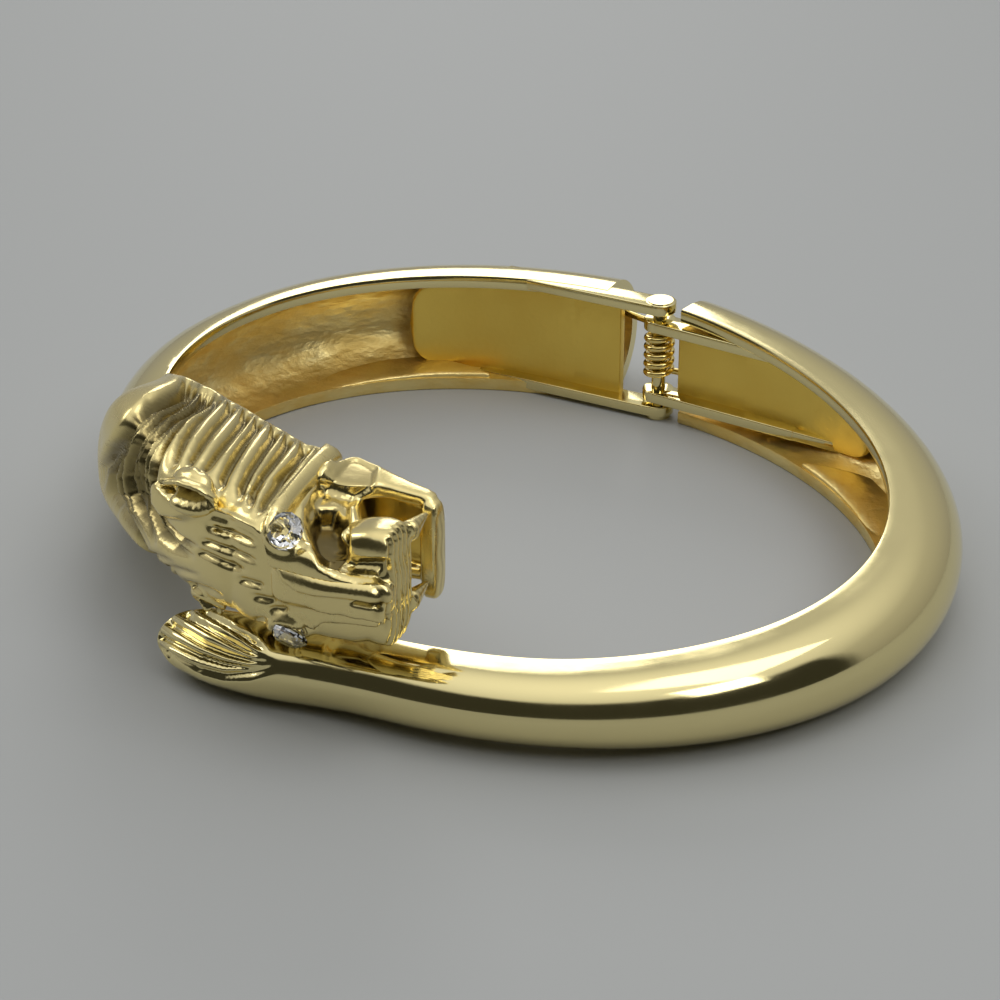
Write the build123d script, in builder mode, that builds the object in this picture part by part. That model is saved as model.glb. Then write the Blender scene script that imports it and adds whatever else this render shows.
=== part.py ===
import os
from collections import namedtuple
from math import atan2, cos, degrees, radians, sin

from build123d import *

os.makedirs("parts", exist_ok=True)

# A hinged bracelet of two cast arms, lying on its side. +Z runs along the wrist opening's axis.
# The hinge is at the back (+Y), the lion's head at the front (-Y), and it looks towards +X.
# The tuft of the tail passes under the head. All sizes are in millimetres.

# Wrist opening, an oval
OPENING_LENGTH = 56.4
OPENING_DEPTH = 46.4

# Arms: shells of D section, flat towards the wrist and open there
ARM_HEIGHT = 10.0
ARM_THICK = 6.4
WALL = 1.05
TUFT_REACH = 7.8
ARM_SECTIONS = 12
LEAST_BEND = 0.06
HOLLOW_OVERRUN = 2.0

# Where the shells stop beside the hinge, as angles round the oval
TAIL_SHELL_START = 99.5
HEAD_SHELL_START = 113.0

# Hinge
PIN_ANGLE = 103.8
PIN_OUTWARD = 0.4
PIN_RADIUS = 0.55
PIN_HEAD_RADIUS = 1.0
PIN_HEAD_HEIGHT = 0.3
PIN_CLEARANCE = 0.06
PIN_HEAD_GAP = 0.03
LEAF_WALL = 0.85
LEAF_DEPTH = 2.1
EAR_RADIUS = 1.25
HEAD_LEAF_LOW = 0.35
HEAD_LEAF_HEIGHT = 9.35
HEAD_LEAF_LENGTH = 19.0
HEAD_LEAF_TURN = 17.0
HEAD_PLATE_START = 3.4
HEAD_LEAF_FREE = 6.0
TAIL_LEAF_HEIGHT = 6.9
TAIL_LEAF_LENGTH = 17.5
TAIL_LEAF_TURN = 12.0
TAIL_PLATE_START = 1.7
TAIL_LEAF_FREE = 4.0
SOLDER_START = 4.8
SOLDER_LENGTH = 5.0
SOLDER_RISE = 0.5

# Spring
WIRE = 0.52
COIL_RADIUS = 0.98
COIL_PITCH = 0.74
COIL_TURNS = 5
COIL_LOW = 3.6
SPRING_LEG = 5.0
SPRING_SPREAD = 10.0

# Lion's head
HEAD_DEPTH = 12.0
HEAD_WIDTH = 11.2
HEAD_MIDDLE = 11.35
RIDGES = 7
RIDGE_RISE = 0.4
RIDGE_SINK = 0.35
RIDGE_SPAN = 4.4
RIDGE_FIRST = -126.0
RIDGE_STEP = 5.8
RIDGE_TILT = 16.0
BROW_ROUND = 0.30
MUZZLE_ROUND = 0.42
NOSE_ROUND = 0.30
JAW_ROUND = 0.40
EAR_ANGLE = -90.5
EAR_OUT = 0.53
EAR_SPACE = 0.39
EAR_SIZE = 1.75
EAR_WALL = 0.5
EAR_CUP = 0.7
EYE_ANGLE = -77.0
EYE_TURN = 42.0
EYE_OUT = 0.55
EYE_SPACE = 0.35
STONE_FACETS = 12
STONE_TABLE = 0.6
STONE_RADIUS = 1.25
STONE_GIRDLE = 0.3
STONE_CROWN = 0.42
STONE_PAVILION = 0.7
STONE_GAP = 0.04
SOCKET_RISE = 0.45

# Tail tuft
TUFT_HEIGHT = 5.2
TUFT_LOCKS = 5
LOCK_RADIUS = 0.85
LOCK_SINK = 0.5
LOCK_FIRST = -62.0
LOCK_STEP = 31.0

TailRow = namedtuple("TailRow", "angle low high thick")
HeadRow = namedtuple("HeadRow", "angle inner outer low high")
LockPlace = namedtuple("LockPlace", "angle share")

# Tail arm: angle round the oval, then shares of ARM_HEIGHT and ARM_THICK
TAIL_ROWS = [
    TailRow(TAIL_SHELL_START, 0.00, 0.985, 0.990),
    TailRow(62.0, 0.00, 0.855, 0.900),
    TailRow(30.0, 0.00, 0.760, 0.835),
    TailRow(2.0, 0.00, 0.690, 0.785),
    TailRow(-24.0, 0.03, 0.625, 0.750),
    TailRow(-46.0, 0.06, 0.560, 0.715),
    TailRow(-64.0, 0.05, 0.505, 0.680),
    TailRow(-76.0, 0.03, 0.470, 0.650),
    TailRow(-84.0, 0.14, 0.380, 0.520),
]
TAIL_HOLLOW_END = -56.0

# Left arm up to the neck, in the same shares
HEAD_ARM_ROWS = [
    TailRow(HEAD_SHELL_START, 0.00, 1.00, 1.00),
    TailRow(135.0, 0.00, 1.00, 0.99),
    TailRow(160.0, 0.00, 1.00, 0.92),
    TailRow(184.0, 0.01, 1.00, 0.80),
    TailRow(204.0, 0.03, 1.01, 0.74),
    TailRow(217.0, 0.08, 1.03, 0.72),
    TailRow(228.0, 0.32, 1.00, 0.62),
]
HEAD_HOLLOW_END = 207.0

# Skull and mane: inner and outer are shares of HEAD_DEPTH, outwards from the oval, low and high
# are shares of HEAD_WIDTH from HEAD_MIDDLE
SKULL_ROWS = [
    HeadRow(-149.0, 0.06, 0.25, -0.74, -0.30),
    HeadRow(-141.0, -0.11, 0.33, -0.86, 0.03),
    HeadRow(-133.0, -0.20, 0.355, -0.75, 0.17),
    HeadRow(-125.0, -0.28, 0.40, -0.61, 0.31),
    HeadRow(-117.0, -0.33, 0.45, -0.53, 0.40),
    HeadRow(-107.0, -0.36, 0.51, -0.47, 0.45),
    HeadRow(-97.0, -0.37, 0.55, -0.455, 0.455),
    HeadRow(-86.0, -0.35, 0.55, -0.43, 0.43),
    HeadRow(-79.0, -0.32, 0.53, -0.39, 0.39),
    HeadRow(-74.5, -0.27, 0.50, -0.33, 0.33),
]
BROW_ROWS = [
    HeadRow(-89.0, 0.06, 0.50, -0.36, 0.36),
    HeadRow(-83.0, 0.00, 0.56, -0.42, 0.42),
    HeadRow(-77.0, -0.02, 0.58, -0.42, 0.42),
    HeadRow(-73.5, 0.04, 0.55, -0.37, 0.37),
]
MUZZLE_ROWS = [
    HeadRow(-80.0, 0.02, 0.50, -0.34, 0.34),
    HeadRow(-74.0, 0.10, 0.48, -0.34, 0.34),
    HeadRow(-69.0, 0.15, 0.46, -0.36, 0.36),
    HeadRow(-65.5, 0.18, 0.42, -0.31, 0.31),
]
NOSE_ROWS = [
    HeadRow(-79.0, 0.44, 0.590, -0.15, 0.15),
    HeadRow(-72.0, 0.40, 0.560, -0.13, 0.13),
    HeadRow(-64.0, 0.34, 0.480, -0.15, 0.15),
]
JAW_ROWS = [
    HeadRow(-82.0, -0.36, -0.08, -0.34, 0.34),
    HeadRow(-73.0, -0.36, -0.14, -0.32, 0.32),
    HeadRow(-66.0, -0.30, -0.18, -0.26, 0.26),
]
JAW_HOLLOW_ROWS = [
    HeadRow(-79.0, -0.25, 0.02, -0.20, 0.20),
    HeadRow(-71.0, -0.25, -0.04, -0.20, 0.20),
    HeadRow(-67.5, -0.22, -0.08, -0.16, 0.16),
]

# Tail tuft, in shares of TUFT_REACH and TUFT_HEIGHT
TUFT_ROWS = [
    HeadRow(-71.0, 0.06, 0.50, 0.12, 0.90),
    HeadRow(-78.0, 0.02, 0.64, 0.05, 0.93),
    HeadRow(-86.0, 0.00, 0.90, 0.04, 0.95),
    HeadRow(-92.0, 0.10, 0.98, 0.05, 0.94),
    HeadRow(-97.0, 0.32, 0.94, 0.10, 0.84),
    HeadRow(-100.0, 0.48, 0.84, 0.28, 0.64),
]

# Where each lock of the tuft swells and thins out: angle, then share of LOCK_RADIUS
LOCK_PLACES = [
    LockPlace(-75.0, 0.30),
    LockPlace(-82.0, 0.80),
    LockPlace(-90.0, 1.00),
    LockPlace(-96.5, 0.80),
    LockPlace(-99.5, 0.45),
]

half_length = OPENING_LENGTH / 2
half_depth = OPENING_DEPTH / 2


def row_at(rows, angle):
    """The row at an angle, worked out between the two rows beside it."""
    ordered = sorted(rows, key=lambda row: row.angle)
    for before, after in zip(ordered, ordered[1:]):
        if before.angle <= angle <= after.angle:
            part = (angle - before.angle) / (after.angle - before.angle)
            return type(before)(*(a + (b - a) * part for a, b in zip(before, after)))
    nearest = ordered[0] if angle < ordered[0].angle else ordered[-1]
    return nearest._replace(angle=angle)


def spread(rows, first, last, count):
    """Rows at evenly spaced angles, so that a loft through them stays smooth."""
    return [row_at(rows, first + (last - first) * step / count) for step in range(count + 1)]


# The oval's centre, set so that the origin is the middle of the whole piece
left_reach = half_length + ARM_THICK * row_at(HEAD_ARM_ROWS, 180).thick
right_reach = half_length + ARM_THICK * row_at(TAIL_ROWS, 0).thick
back_reach = half_depth + ARM_THICK * row_at(TAIL_ROWS, 90).thick
front_reach = half_depth + EAR_OUT * HEAD_DEPTH + EAR_SIZE
centre_x = (left_reach - right_reach) / 2
centre_y = (front_reach - back_reach) / 2


def outward(angle):
    """Unit vector that points out of the oval at an angle."""
    across = half_depth * cos(radians(angle))
    along = half_length * sin(radians(angle))
    return Vector(across, along, 0).normalized()


def oval_point(angle, out=0.0, z=0.0):
    """Point on the wrist opening's oval, moved outwards and up."""
    edge = Vector(centre_x + half_length * cos(radians(angle)), centre_y + half_depth * sin(radians(angle)), z)
    return edge + outward(angle) * out


def oval_plane(angle, z=0.0, tilt=0.0):
    """Section plane at an angle: its x points outwards and its y points up."""
    out = outward(angle).rotate(Axis.Z, tilt)
    return Plane(origin=oval_point(angle, 0, z), x_dir=out, z_dir=out.cross(Vector(0, 0, 1)))


def d_section(row, inset=0.0, back=0.0):
    """D profile of an arm, moved inwards by the inset; back moves its flat side."""
    reach = row.thick * ARM_THICK
    middle = (row.low + row.high) * ARM_HEIGHT / 2
    radius = (row.high - row.low) * ARM_HEIGHT / 2
    bend = max(reach - radius, reach * LEAST_BEND)
    reach -= inset
    radius -= inset
    with BuildSketch(oval_plane(row.angle)) as section:
        with BuildLine():
            Line((back, middle - radius), (bend, middle - radius))
            ThreePointArc((bend, middle - radius), (reach, middle), (bend, middle + radius))
            Line((bend, middle + radius), (back, middle + radius))
            Line((back, middle + radius), (back, middle - radius))
        make_face()
    return section.sketch


def oval_section(row, depth, width, middle, grow=0.0, tilt=0.0):
    """Elliptic profile between a row's inner and outer, low and high sides."""
    half_out = (row.outer - row.inner) * depth / 2 + grow
    half_up = (row.high - row.low) * width / 2 + grow
    place = ((row.outer + row.inner) * depth / 2, middle + (row.high + row.low) * width / 2)
    with BuildSketch(oval_plane(row.angle, 0, tilt)) as section:
        with Locations(place):
            Ellipse(half_out, half_up)
    return section.sketch


def head_section(row, grow=0.0, tilt=0.0):
    return oval_section(row, HEAD_DEPTH, HEAD_WIDTH, HEAD_MIDDLE, grow, tilt)


def box_section(row, corner):
    """Profile like head_section, but a rectangle with rounded corners."""
    size_out = (row.outer - row.inner) * HEAD_DEPTH
    size_up = (row.high - row.low) * HEAD_WIDTH
    place = ((row.outer + row.inner) * HEAD_DEPTH / 2, HEAD_MIDDLE + (row.high + row.low) * HEAD_WIDTH / 2)
    with BuildSketch(oval_plane(row.angle)) as section:
        with Locations(place):
            RectangleRounded(size_out, size_up, corner * min(size_out, size_up))
    return section.sketch


def shell_faces(rows, hollow_overrun, hollow_end):
    """Profiles of an arm's outside, of its hollow, which breaks out of the hinge end, and of the
    core half a wall deep, which trims the hinge leaf."""
    start = rows[0].angle
    outside = [d_section(row) for row in spread(rows, start, rows[-1].angle, ARM_SECTIONS)]
    hollow = spread(rows, start + hollow_overrun, hollow_end, ARM_SECTIONS)
    inside = [d_section(row, WALL, -ARM_THICK / 4) for row in hollow]
    core = [d_section(row, WALL / 2, -ARM_THICK / 2) for row in hollow]
    return outside, inside, core


# Hinge leaves: U-shaped strips whose ears meet on the pin
pin = oval_point(PIN_ANGLE, PIN_OUTWARD)
head_leaf_axis = Vector(-1, 0, 0).rotate(Axis.Z, HEAD_LEAF_TURN)
tail_leaf_axis = Vector(1, 0, 0).rotate(Axis.Z, TAIL_LEAF_TURN)
tail_leaf_low = HEAD_LEAF_LOW + (HEAD_LEAF_HEIGHT - TAIL_LEAF_HEIGHT) / 2
leaf_front = -EAR_RADIUS
leaf_back = leaf_front + LEAF_DEPTH


def leaf_plane(axis, distance, low):
    """Plane across a leaf: its x points out of the oval and its y points up."""
    x_dir = Vector(0, 0, 1).cross(axis)
    x_dir = x_dir if x_dir.dot(outward(PIN_ANGLE)) > 0 else -x_dir
    return Plane(origin=pin + axis * distance + Vector(0, 0, low), x_dir=x_dir, z_dir=x_dir.cross(Vector(0, 0, 1)))


def leaf_way(axis):
    """Sign of an extrusion from a leaf's plane that runs away from the pin."""
    across = leaf_plane(axis, 0, 0).x_dir
    return 1 if across.cross(Vector(0, 0, 1)).dot(axis) > 0 else -1


def leaf_channel(axis, low, height, plate_start, length):
    """U-shaped strip of a leaf: its two flanges run on past the plate to the pin."""
    toward = leaf_way(axis)
    inner_height = height - 2 * LEAF_WALL
    with BuildPart() as channel:
        with BuildSketch(leaf_plane(axis, 0, low)):
            with Locations((leaf_front, 0)):
                Rectangle(LEAF_DEPTH, height, align=(Align.MIN, Align.MIN))
        extrude(amount=toward * length)
        with BuildSketch(leaf_plane(axis, 0, low + LEAF_WALL)):
            with Locations((leaf_front - EAR_RADIUS, 0)):
                Rectangle(LEAF_DEPTH - LEAF_WALL + EAR_RADIUS, inner_height, align=(Align.MIN, Align.MIN))
        extrude(amount=toward * (length + LEAF_WALL), mode=Mode.SUBTRACT)
        with BuildSketch(leaf_plane(axis, 0, low + LEAF_WALL)):
            with Locations((leaf_front, 0)):
                Rectangle(LEAF_DEPTH + EAR_RADIUS, inner_height, align=(Align.MIN, Align.MIN))
        extrude(amount=toward * plate_start, mode=Mode.SUBTRACT)
    return channel.part


def leaf_solid(axis, low, height, plate_start, length, free, core):
    """A leaf with its two ears: past its free stretch it is trimmed to the shell it is soldered in."""
    with BuildPart() as leaf:
        loft(core)
        add(leaf_channel(axis, low, height, plate_start, length), mode=Mode.INTERSECT)
        add(leaf_channel(axis, low, height, plate_start, free))
        for ear_low in (low, low + height - LEAF_WALL):
            with BuildSketch(Plane(origin=pin + Vector(0, 0, ear_low), z_dir=(0, 0, 1))):
                Circle(EAR_RADIUS)
            extrude(amount=LEAF_WALL)
    return leaf.part


def pin_hole():
    """Cutter for the pin's shaft."""
    with BuildPart() as cutter:
        with BuildSketch(Plane(origin=pin - Vector(0, 0, ARM_HEIGHT), z_dir=(0, 0, 1))):
            Circle(PIN_RADIUS + PIN_CLEARANCE)
        extrude(amount=3 * ARM_HEIGHT)
    return cutter.part


# Left arm with the head
def eye_plane(side):
    """Plane of an eye's girdle, on the cheek between brow and muzzle."""
    out = outward(EYE_ANGLE)
    look = out * cos(radians(EYE_TURN)) + Vector(0, 0, side * sin(radians(EYE_TURN)))
    place = oval_point(EYE_ANGLE, EYE_OUT * HEAD_DEPTH, HEAD_MIDDLE + side * EYE_SPACE * HEAD_WIDTH)
    return Plane(origin=place, x_dir=oval_plane(EYE_ANGLE).z_dir, z_dir=look)


def ear_point(side):
    """Middle of an ear, high on the side of the mane."""
    return oval_point(EAR_ANGLE, EAR_OUT * HEAD_DEPTH, HEAD_MIDDLE + side * EAR_SPACE * HEAD_WIDTH)


def ridge_faces(angle):
    """Three profiles of one lock of the mane, which stands proud in the middle."""
    span = RIDGE_SPAN / 2
    steps = ((-span, -RIDGE_SINK), (0, RIDGE_RISE), (span, -RIDGE_SINK))
    return [head_section(row_at(SKULL_ROWS, angle + step), grow, RIDGE_TILT) for step, grow in steps]


outside, inside, core = shell_faces(HEAD_ARM_ROWS, -HOLLOW_OVERRUN, HEAD_HOLLOW_END)
head_leaf = leaf_solid(
    head_leaf_axis, HEAD_LEAF_LOW, HEAD_LEAF_HEIGHT, HEAD_PLATE_START, HEAD_LEAF_LENGTH, HEAD_LEAF_FREE, core
)
with BuildPart() as head_arm:
    loft(outside)
    loft([head_section(row) for row in SKULL_ROWS])
    loft(inside, mode=Mode.SUBTRACT)
    add(head_leaf)
    for number in range(RIDGES):
        loft(ridge_faces(RIDGE_FIRST + number * RIDGE_STEP))
    loft([box_section(row, BROW_ROUND) for row in BROW_ROWS])
    loft([box_section(row, MUZZLE_ROUND) for row in MUZZLE_ROWS])
    loft([box_section(row, NOSE_ROUND) for row in NOSE_ROWS])
    loft([box_section(row, JAW_ROUND) for row in JAW_ROWS])
    loft([box_section(row, JAW_ROUND) for row in JAW_HOLLOW_ROWS], mode=Mode.SUBTRACT)
    for side in (-1, 1):
        with Locations(ear_point(side)):
            Sphere(EAR_SIZE)
        cup_way = outward(EAR_ANGLE) + Vector(1, 0, side)
        with Locations(ear_point(side) + cup_way.normalized() * EAR_SIZE * EAR_CUP):
            Sphere(EAR_SIZE - EAR_WALL, mode=Mode.SUBTRACT)
        with BuildSketch(eye_plane(side)):
            Circle(STONE_RADIUS + SOCKET_RISE)
        extrude(amount=-2 * STONE_RADIUS)
        with BuildSketch(eye_plane(side)):
            Circle(STONE_RADIUS + STONE_GAP)
        extrude(amount=-(STONE_GIRDLE + STONE_PAVILION + STONE_GAP), mode=Mode.SUBTRACT)
    add(pin_hole(), mode=Mode.SUBTRACT)
head_arm.part.label = "head_arm"


# Right arm with the tuft of the tail
def lock_circle(row, turn, share):
    """Profile of one lock of hair on the tuft's skin, turned round the tuft's section."""
    half_out = (row.outer - row.inner) * TUFT_REACH / 2 - LOCK_SINK
    half_up = (row.high - row.low) * TUFT_HEIGHT / 2 - LOCK_SINK
    out = (row.outer + row.inner) * TUFT_REACH / 2 + half_out * cos(radians(turn))
    up = (row.high + row.low) * TUFT_HEIGHT / 2 + half_up * sin(radians(turn))
    with BuildSketch(oval_plane(row.angle)) as section:
        with Locations((out, up)):
            Circle(LOCK_RADIUS * share)
    return section.sketch


outside, inside, core = shell_faces(TAIL_ROWS, HOLLOW_OVERRUN, TAIL_HOLLOW_END)
tail_leaf = leaf_solid(
    tail_leaf_axis, tail_leaf_low, TAIL_LEAF_HEIGHT, TAIL_PLATE_START, TAIL_LEAF_LENGTH, TAIL_LEAF_FREE, core
)
with BuildPart() as tail_arm:
    loft(outside)
    loft([oval_section(row, TUFT_REACH, TUFT_HEIGHT, 0) for row in TUFT_ROWS])
    loft(inside, mode=Mode.SUBTRACT)
    add(tail_leaf)
    solder_low = tail_leaf_low + TAIL_LEAF_HEIGHT - SOLDER_RISE
    with BuildSketch(leaf_plane(tail_leaf_axis, SOLDER_START, solder_low)):
        with Locations((leaf_front + LEAF_WALL, 0)):
            Rectangle(LEAF_DEPTH, 2 * SOLDER_RISE, align=(Align.MIN, Align.MIN))
    extrude(amount=leaf_way(tail_leaf_axis) * SOLDER_LENGTH)
    for number in range(TUFT_LOCKS):
        turn = LOCK_FIRST + number * LOCK_STEP
        loft([lock_circle(row_at(TUFT_ROWS, place.angle), turn, place.share) for place in LOCK_PLACES])
    add(pin_hole(), mode=Mode.SUBTRACT)
tail_arm.part.label = "tail_arm"

# Pin: a shaft riveted over both outer ears
shaft_low = HEAD_LEAF_LOW - PIN_HEAD_GAP
shaft_high = HEAD_LEAF_LOW + HEAD_LEAF_HEIGHT + PIN_HEAD_GAP
with BuildPart() as hinge_pin:
    with BuildSketch(Plane(origin=pin + Vector(0, 0, shaft_low), z_dir=(0, 0, 1))):
        Circle(PIN_RADIUS)
    extrude(amount=shaft_high - shaft_low)
    for level, way in ((shaft_low, -1), (shaft_high, 1)):
        with BuildSketch(Plane(origin=pin + Vector(0, 0, level), z_dir=(0, 0, 1))):
            Circle(PIN_HEAD_RADIUS)
        extrude(amount=way * PIN_HEAD_HEIGHT)
hinge_pin.part.label = "hinge_pin"

# Spring: a coil round the pin whose two legs press on the backs of the plates
coil_start = degrees(atan2(outward(PIN_ANGLE).Y, outward(PIN_ANGLE).X)) + SPRING_SPREAD
coil_height = COIL_PITCH * (COIL_TURNS - 2 * SPRING_SPREAD / 360)
coil = Helix(COIL_PITCH, coil_height, COIL_RADIUS).rotate(Axis.Z, coil_start)
coil = coil.moved(Location(pin + Vector(0, 0, COIL_LOW)))
with BuildPart() as hinge_spring:
    with BuildLine() as wire_path:
        Line(coil @ 0 - (coil % 0) * SPRING_LEG, coil @ 0)
        add(coil)
        Line(coil @ 1, coil @ 1 + (coil % 1) * SPRING_LEG)
    with BuildSketch(Plane(origin=wire_path.line @ 0, z_dir=wire_path.line % 0)):
        Circle(WIRE / 2)
    sweep(path=wire_path.line, is_frenet=True)
hinge_spring.part.label = "hinge_spring"

export_step(head_arm.part, "parts/head_arm.step")
export_step(tail_arm.part, "parts/tail_arm.step")
export_step(hinge_pin.part, "parts/hinge_pin.step")
export_step(hinge_spring.part, "parts/hinge_spring.step")

# Eye stones: a girdle, a crown with a flat table and a pointed pavilion
for side, name in ((1, "eye_stone_upper"), (-1, "eye_stone_lower")):
    girdle = eye_plane(side)
    with BuildPart() as eye_stone:
        with BuildSketch(girdle.offset(-STONE_GIRDLE)):
            RegularPolygon(STONE_RADIUS, STONE_FACETS)
        extrude(amount=STONE_GIRDLE)
        for level, radius in ((0, STONE_RADIUS), (STONE_CROWN, STONE_RADIUS * STONE_TABLE)):
            with BuildSketch(girdle.offset(level)):
                RegularPolygon(radius, STONE_FACETS)
        loft(ruled=True)
        for level, radius in ((-STONE_GIRDLE, STONE_RADIUS), (-STONE_GIRDLE - STONE_PAVILION, STONE_RADIUS / 6)):
            with BuildSketch(girdle.offset(level)):
                RegularPolygon(radius, STONE_FACETS)
        loft(ruled=True)
    eye_stone.part.label = name
    export_step(eye_stone.part, f"parts/{name}.step")

print("pin at", pin, "oval's centre at", centre_x, centre_y)
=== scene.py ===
# %% [markdown]
# # A lion's-head bangle
# This lesson dresses a small hinged bracelet of gold-tone cast metal. The engineering model gives the
# hinge, the eye stones and the boxes that everything has to stay in. Here the cast arms, their leaves, the
# spring, the lion's head and the tuft are modelled again with the detail that a caster's mould leaves.
# Metres are Blender's unit, but such a small thing is easier to think of in millimetres, so the helpers
# below take millimetres.

# %% Load the fixed frame
from math import atan2, ceil, cos, degrees, pi, radians, sin, sqrt

import bmesh
import bpy
import numpy as np
from mathutils import Matrix, Vector
from mathutils.bvhtree import BVHTree


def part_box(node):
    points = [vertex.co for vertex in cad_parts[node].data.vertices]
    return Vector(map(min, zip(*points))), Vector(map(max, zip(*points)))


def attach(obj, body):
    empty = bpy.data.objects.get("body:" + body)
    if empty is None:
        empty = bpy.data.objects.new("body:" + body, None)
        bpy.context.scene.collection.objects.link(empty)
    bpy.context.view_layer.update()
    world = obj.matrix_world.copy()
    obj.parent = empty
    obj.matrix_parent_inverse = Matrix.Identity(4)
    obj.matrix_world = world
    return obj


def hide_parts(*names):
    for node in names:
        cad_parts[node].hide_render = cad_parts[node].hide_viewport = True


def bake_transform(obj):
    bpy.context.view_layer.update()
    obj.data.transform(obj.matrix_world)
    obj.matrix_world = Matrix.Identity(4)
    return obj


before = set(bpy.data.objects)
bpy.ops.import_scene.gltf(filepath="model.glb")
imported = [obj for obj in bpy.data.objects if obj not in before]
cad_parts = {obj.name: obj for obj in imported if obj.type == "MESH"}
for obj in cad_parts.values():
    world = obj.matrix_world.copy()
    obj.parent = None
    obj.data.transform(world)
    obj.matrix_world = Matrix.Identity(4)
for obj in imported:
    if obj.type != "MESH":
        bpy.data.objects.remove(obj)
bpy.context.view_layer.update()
MM = 0.001

# %% [markdown]
# ## The oval that everything follows
# The wrist opening is an ellipse, and each piece of the bracelet is described by an angle round it, a
# distance outwards from it and a height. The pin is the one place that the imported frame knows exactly, so
# the ellipse's centre is worked out from the pin. The way back, from a point to its angle, has no
# formula, so a few steps of correction look for the nearest point of the ellipse.

# %% Places round the oval
HALF_LENGTH = 28.2
HALF_DEPTH = 23.2
PIN_ANGLE = 103.8
PIN_OUTWARD = 0.4
NEAREST_STEPS = 6
LEAST_BEND = 60.0
pin_low, pin_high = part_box("hinge_pin")
pin_x = (pin_low.x + pin_high.x) / 2 / MM
pin_y = (pin_low.y + pin_high.y) / 2 / MM


def outward(angle):
    """Unit vector out of the oval at an angle, as an x and y pair of arrays or numbers."""
    across = HALF_DEPTH * np.cos(np.radians(angle))
    along = HALF_LENGTH * np.sin(np.radians(angle))
    size = np.hypot(across, along)
    return across / size, along / size


out_x, out_y = outward(PIN_ANGLE)
centre_x = pin_x - HALF_LENGTH * cos(radians(PIN_ANGLE)) - PIN_OUTWARD * out_x
centre_y = pin_y - HALF_DEPTH * sin(radians(PIN_ANGLE)) - PIN_OUTWARD * out_y


def place(angle, out, height):
    """Point in metres at an angle round the oval, a distance outwards and a height in millimetres."""
    way_x, way_y = outward(angle)
    x = centre_x + HALF_LENGTH * cos(radians(angle)) + out * way_x
    y = centre_y + HALF_DEPTH * sin(radians(angle)) + out * way_y
    return Vector((x * MM, y * MM, height * MM))


def place_back(points):
    """Angle, distance outwards and height of an array of points in metres."""
    x = points[:, 0] / MM - centre_x
    y = points[:, 1] / MM - centre_y
    angle = np.arctan2(y / HALF_DEPTH, x / HALF_LENGTH)
    for _ in range(NEAREST_STEPS):
        edge_x = HALF_LENGTH * np.cos(angle)
        edge_y = HALF_DEPTH * np.sin(angle)
        slope_x = -HALF_LENGTH * np.sin(angle)
        slope_y = HALF_DEPTH * np.cos(angle)
        miss = (edge_x - x) * slope_x + (edge_y - y) * slope_y
        bend = slope_x ** 2 + slope_y ** 2 + (edge_x - x) * -edge_x + (edge_y - y) * -edge_y
        angle = angle - miss / np.maximum(bend, LEAST_BEND)
    way_x, way_y = outward(np.degrees(angle))
    out = (x - HALF_LENGTH * np.cos(angle)) * way_x + (y - HALF_DEPTH * np.sin(angle)) * way_y
    return np.degrees(angle), out, points[:, 2] / MM


print("oval's centre", round(centre_x, 3), round(centre_y, 3))

# %% [markdown]
# ## Camera
# The photograph looks down at about 28 degrees, from the side that the lion looks to, through a lens of
# about 105 mm on a full-frame sensor. A long lens keeps the far side of the oval nearly as wide as the
# near one.

# %% Camera
CAMERA_PLACE = (130.3, -135.0, 103.3)
CAMERA_TARGET = (-5.66, 3.84, 0.0)
LENS = 105.3
SENSOR = 36.0
camera_data = bpy.data.cameras.new("camera")
camera_data.lens = LENS
camera_data.sensor_width = SENSOR
camera = bpy.data.objects.new("camera", camera_data)
bpy.context.collection.objects.link(camera)
camera.location = [(v + c) * MM for v, c in zip(CAMERA_PLACE, (centre_x, centre_y, 0))]
target = Vector([(v + c) * MM for v, c in zip(CAMERA_TARGET, (centre_x, centre_y, 0))])
camera.rotation_euler = (target - camera.location).to_track_quat("-Z", "Y").to_euler()
bpy.context.scene.camera = camera
print("camera's distance in mm", round((target - camera.location).length / MM, 1))

# %% [markdown]
# ## A grid that takes any shape
# A cast form is easiest as a sheet: a grid whose one direction runs along the arm and whose other runs
# round its section. One helper makes the grid, asks a function where each of its points goes, and closes
# the seam and the two ends.

# %% Helper for finishing a mesh


def finish_mesh(mesh_edit, name, materials, smooth=True, sharp=40):
    """Object from a bmesh, with smooth shading except over sharp edges."""
    mesh = bpy.data.meshes.new(name)
    mesh_edit.to_mesh(mesh)
    mesh_edit.free()
    for material in materials:
        mesh.materials.append(material)
    piece = bpy.data.objects.new(name, mesh)
    bpy.context.collection.objects.link(piece)
    if smooth:
        mesh.shade_smooth()
        mesh.set_sharp_from_angle(angle=radians(sharp))
    return piece


# %% Helper for sheets
MERGE_GAP = 0.002


def grid_sheet(steps_along, steps_round, where, paint=None, close_ends=True):
    """Bmesh of a tube: where(along, round) gives each point, paint(along, round) each face's slot."""
    sheet = bmesh.new()
    bmesh.ops.create_grid(sheet, x_segments=steps_along, y_segments=steps_round, size=0.5)
    for face in sheet.faces:
        middle = face.calc_center_median()
        face.material_index = paint(middle.x + 0.5, middle.y + 0.5) if paint else 0
    for vert in sheet.verts:
        vert.co = where(vert.co.x + 0.5, vert.co.y + 0.5)
    bmesh.ops.remove_doubles(sheet, verts=sheet.verts, dist=MERGE_GAP * MM)
    if close_ends:
        rim = [edge for edge in sheet.edges if edge.is_boundary]
        bmesh.ops.holes_fill(sheet, edges=rim, sides=0)
    bmesh.ops.recalc_face_normals(sheet, faces=sheet.faces)
    return sheet


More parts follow.
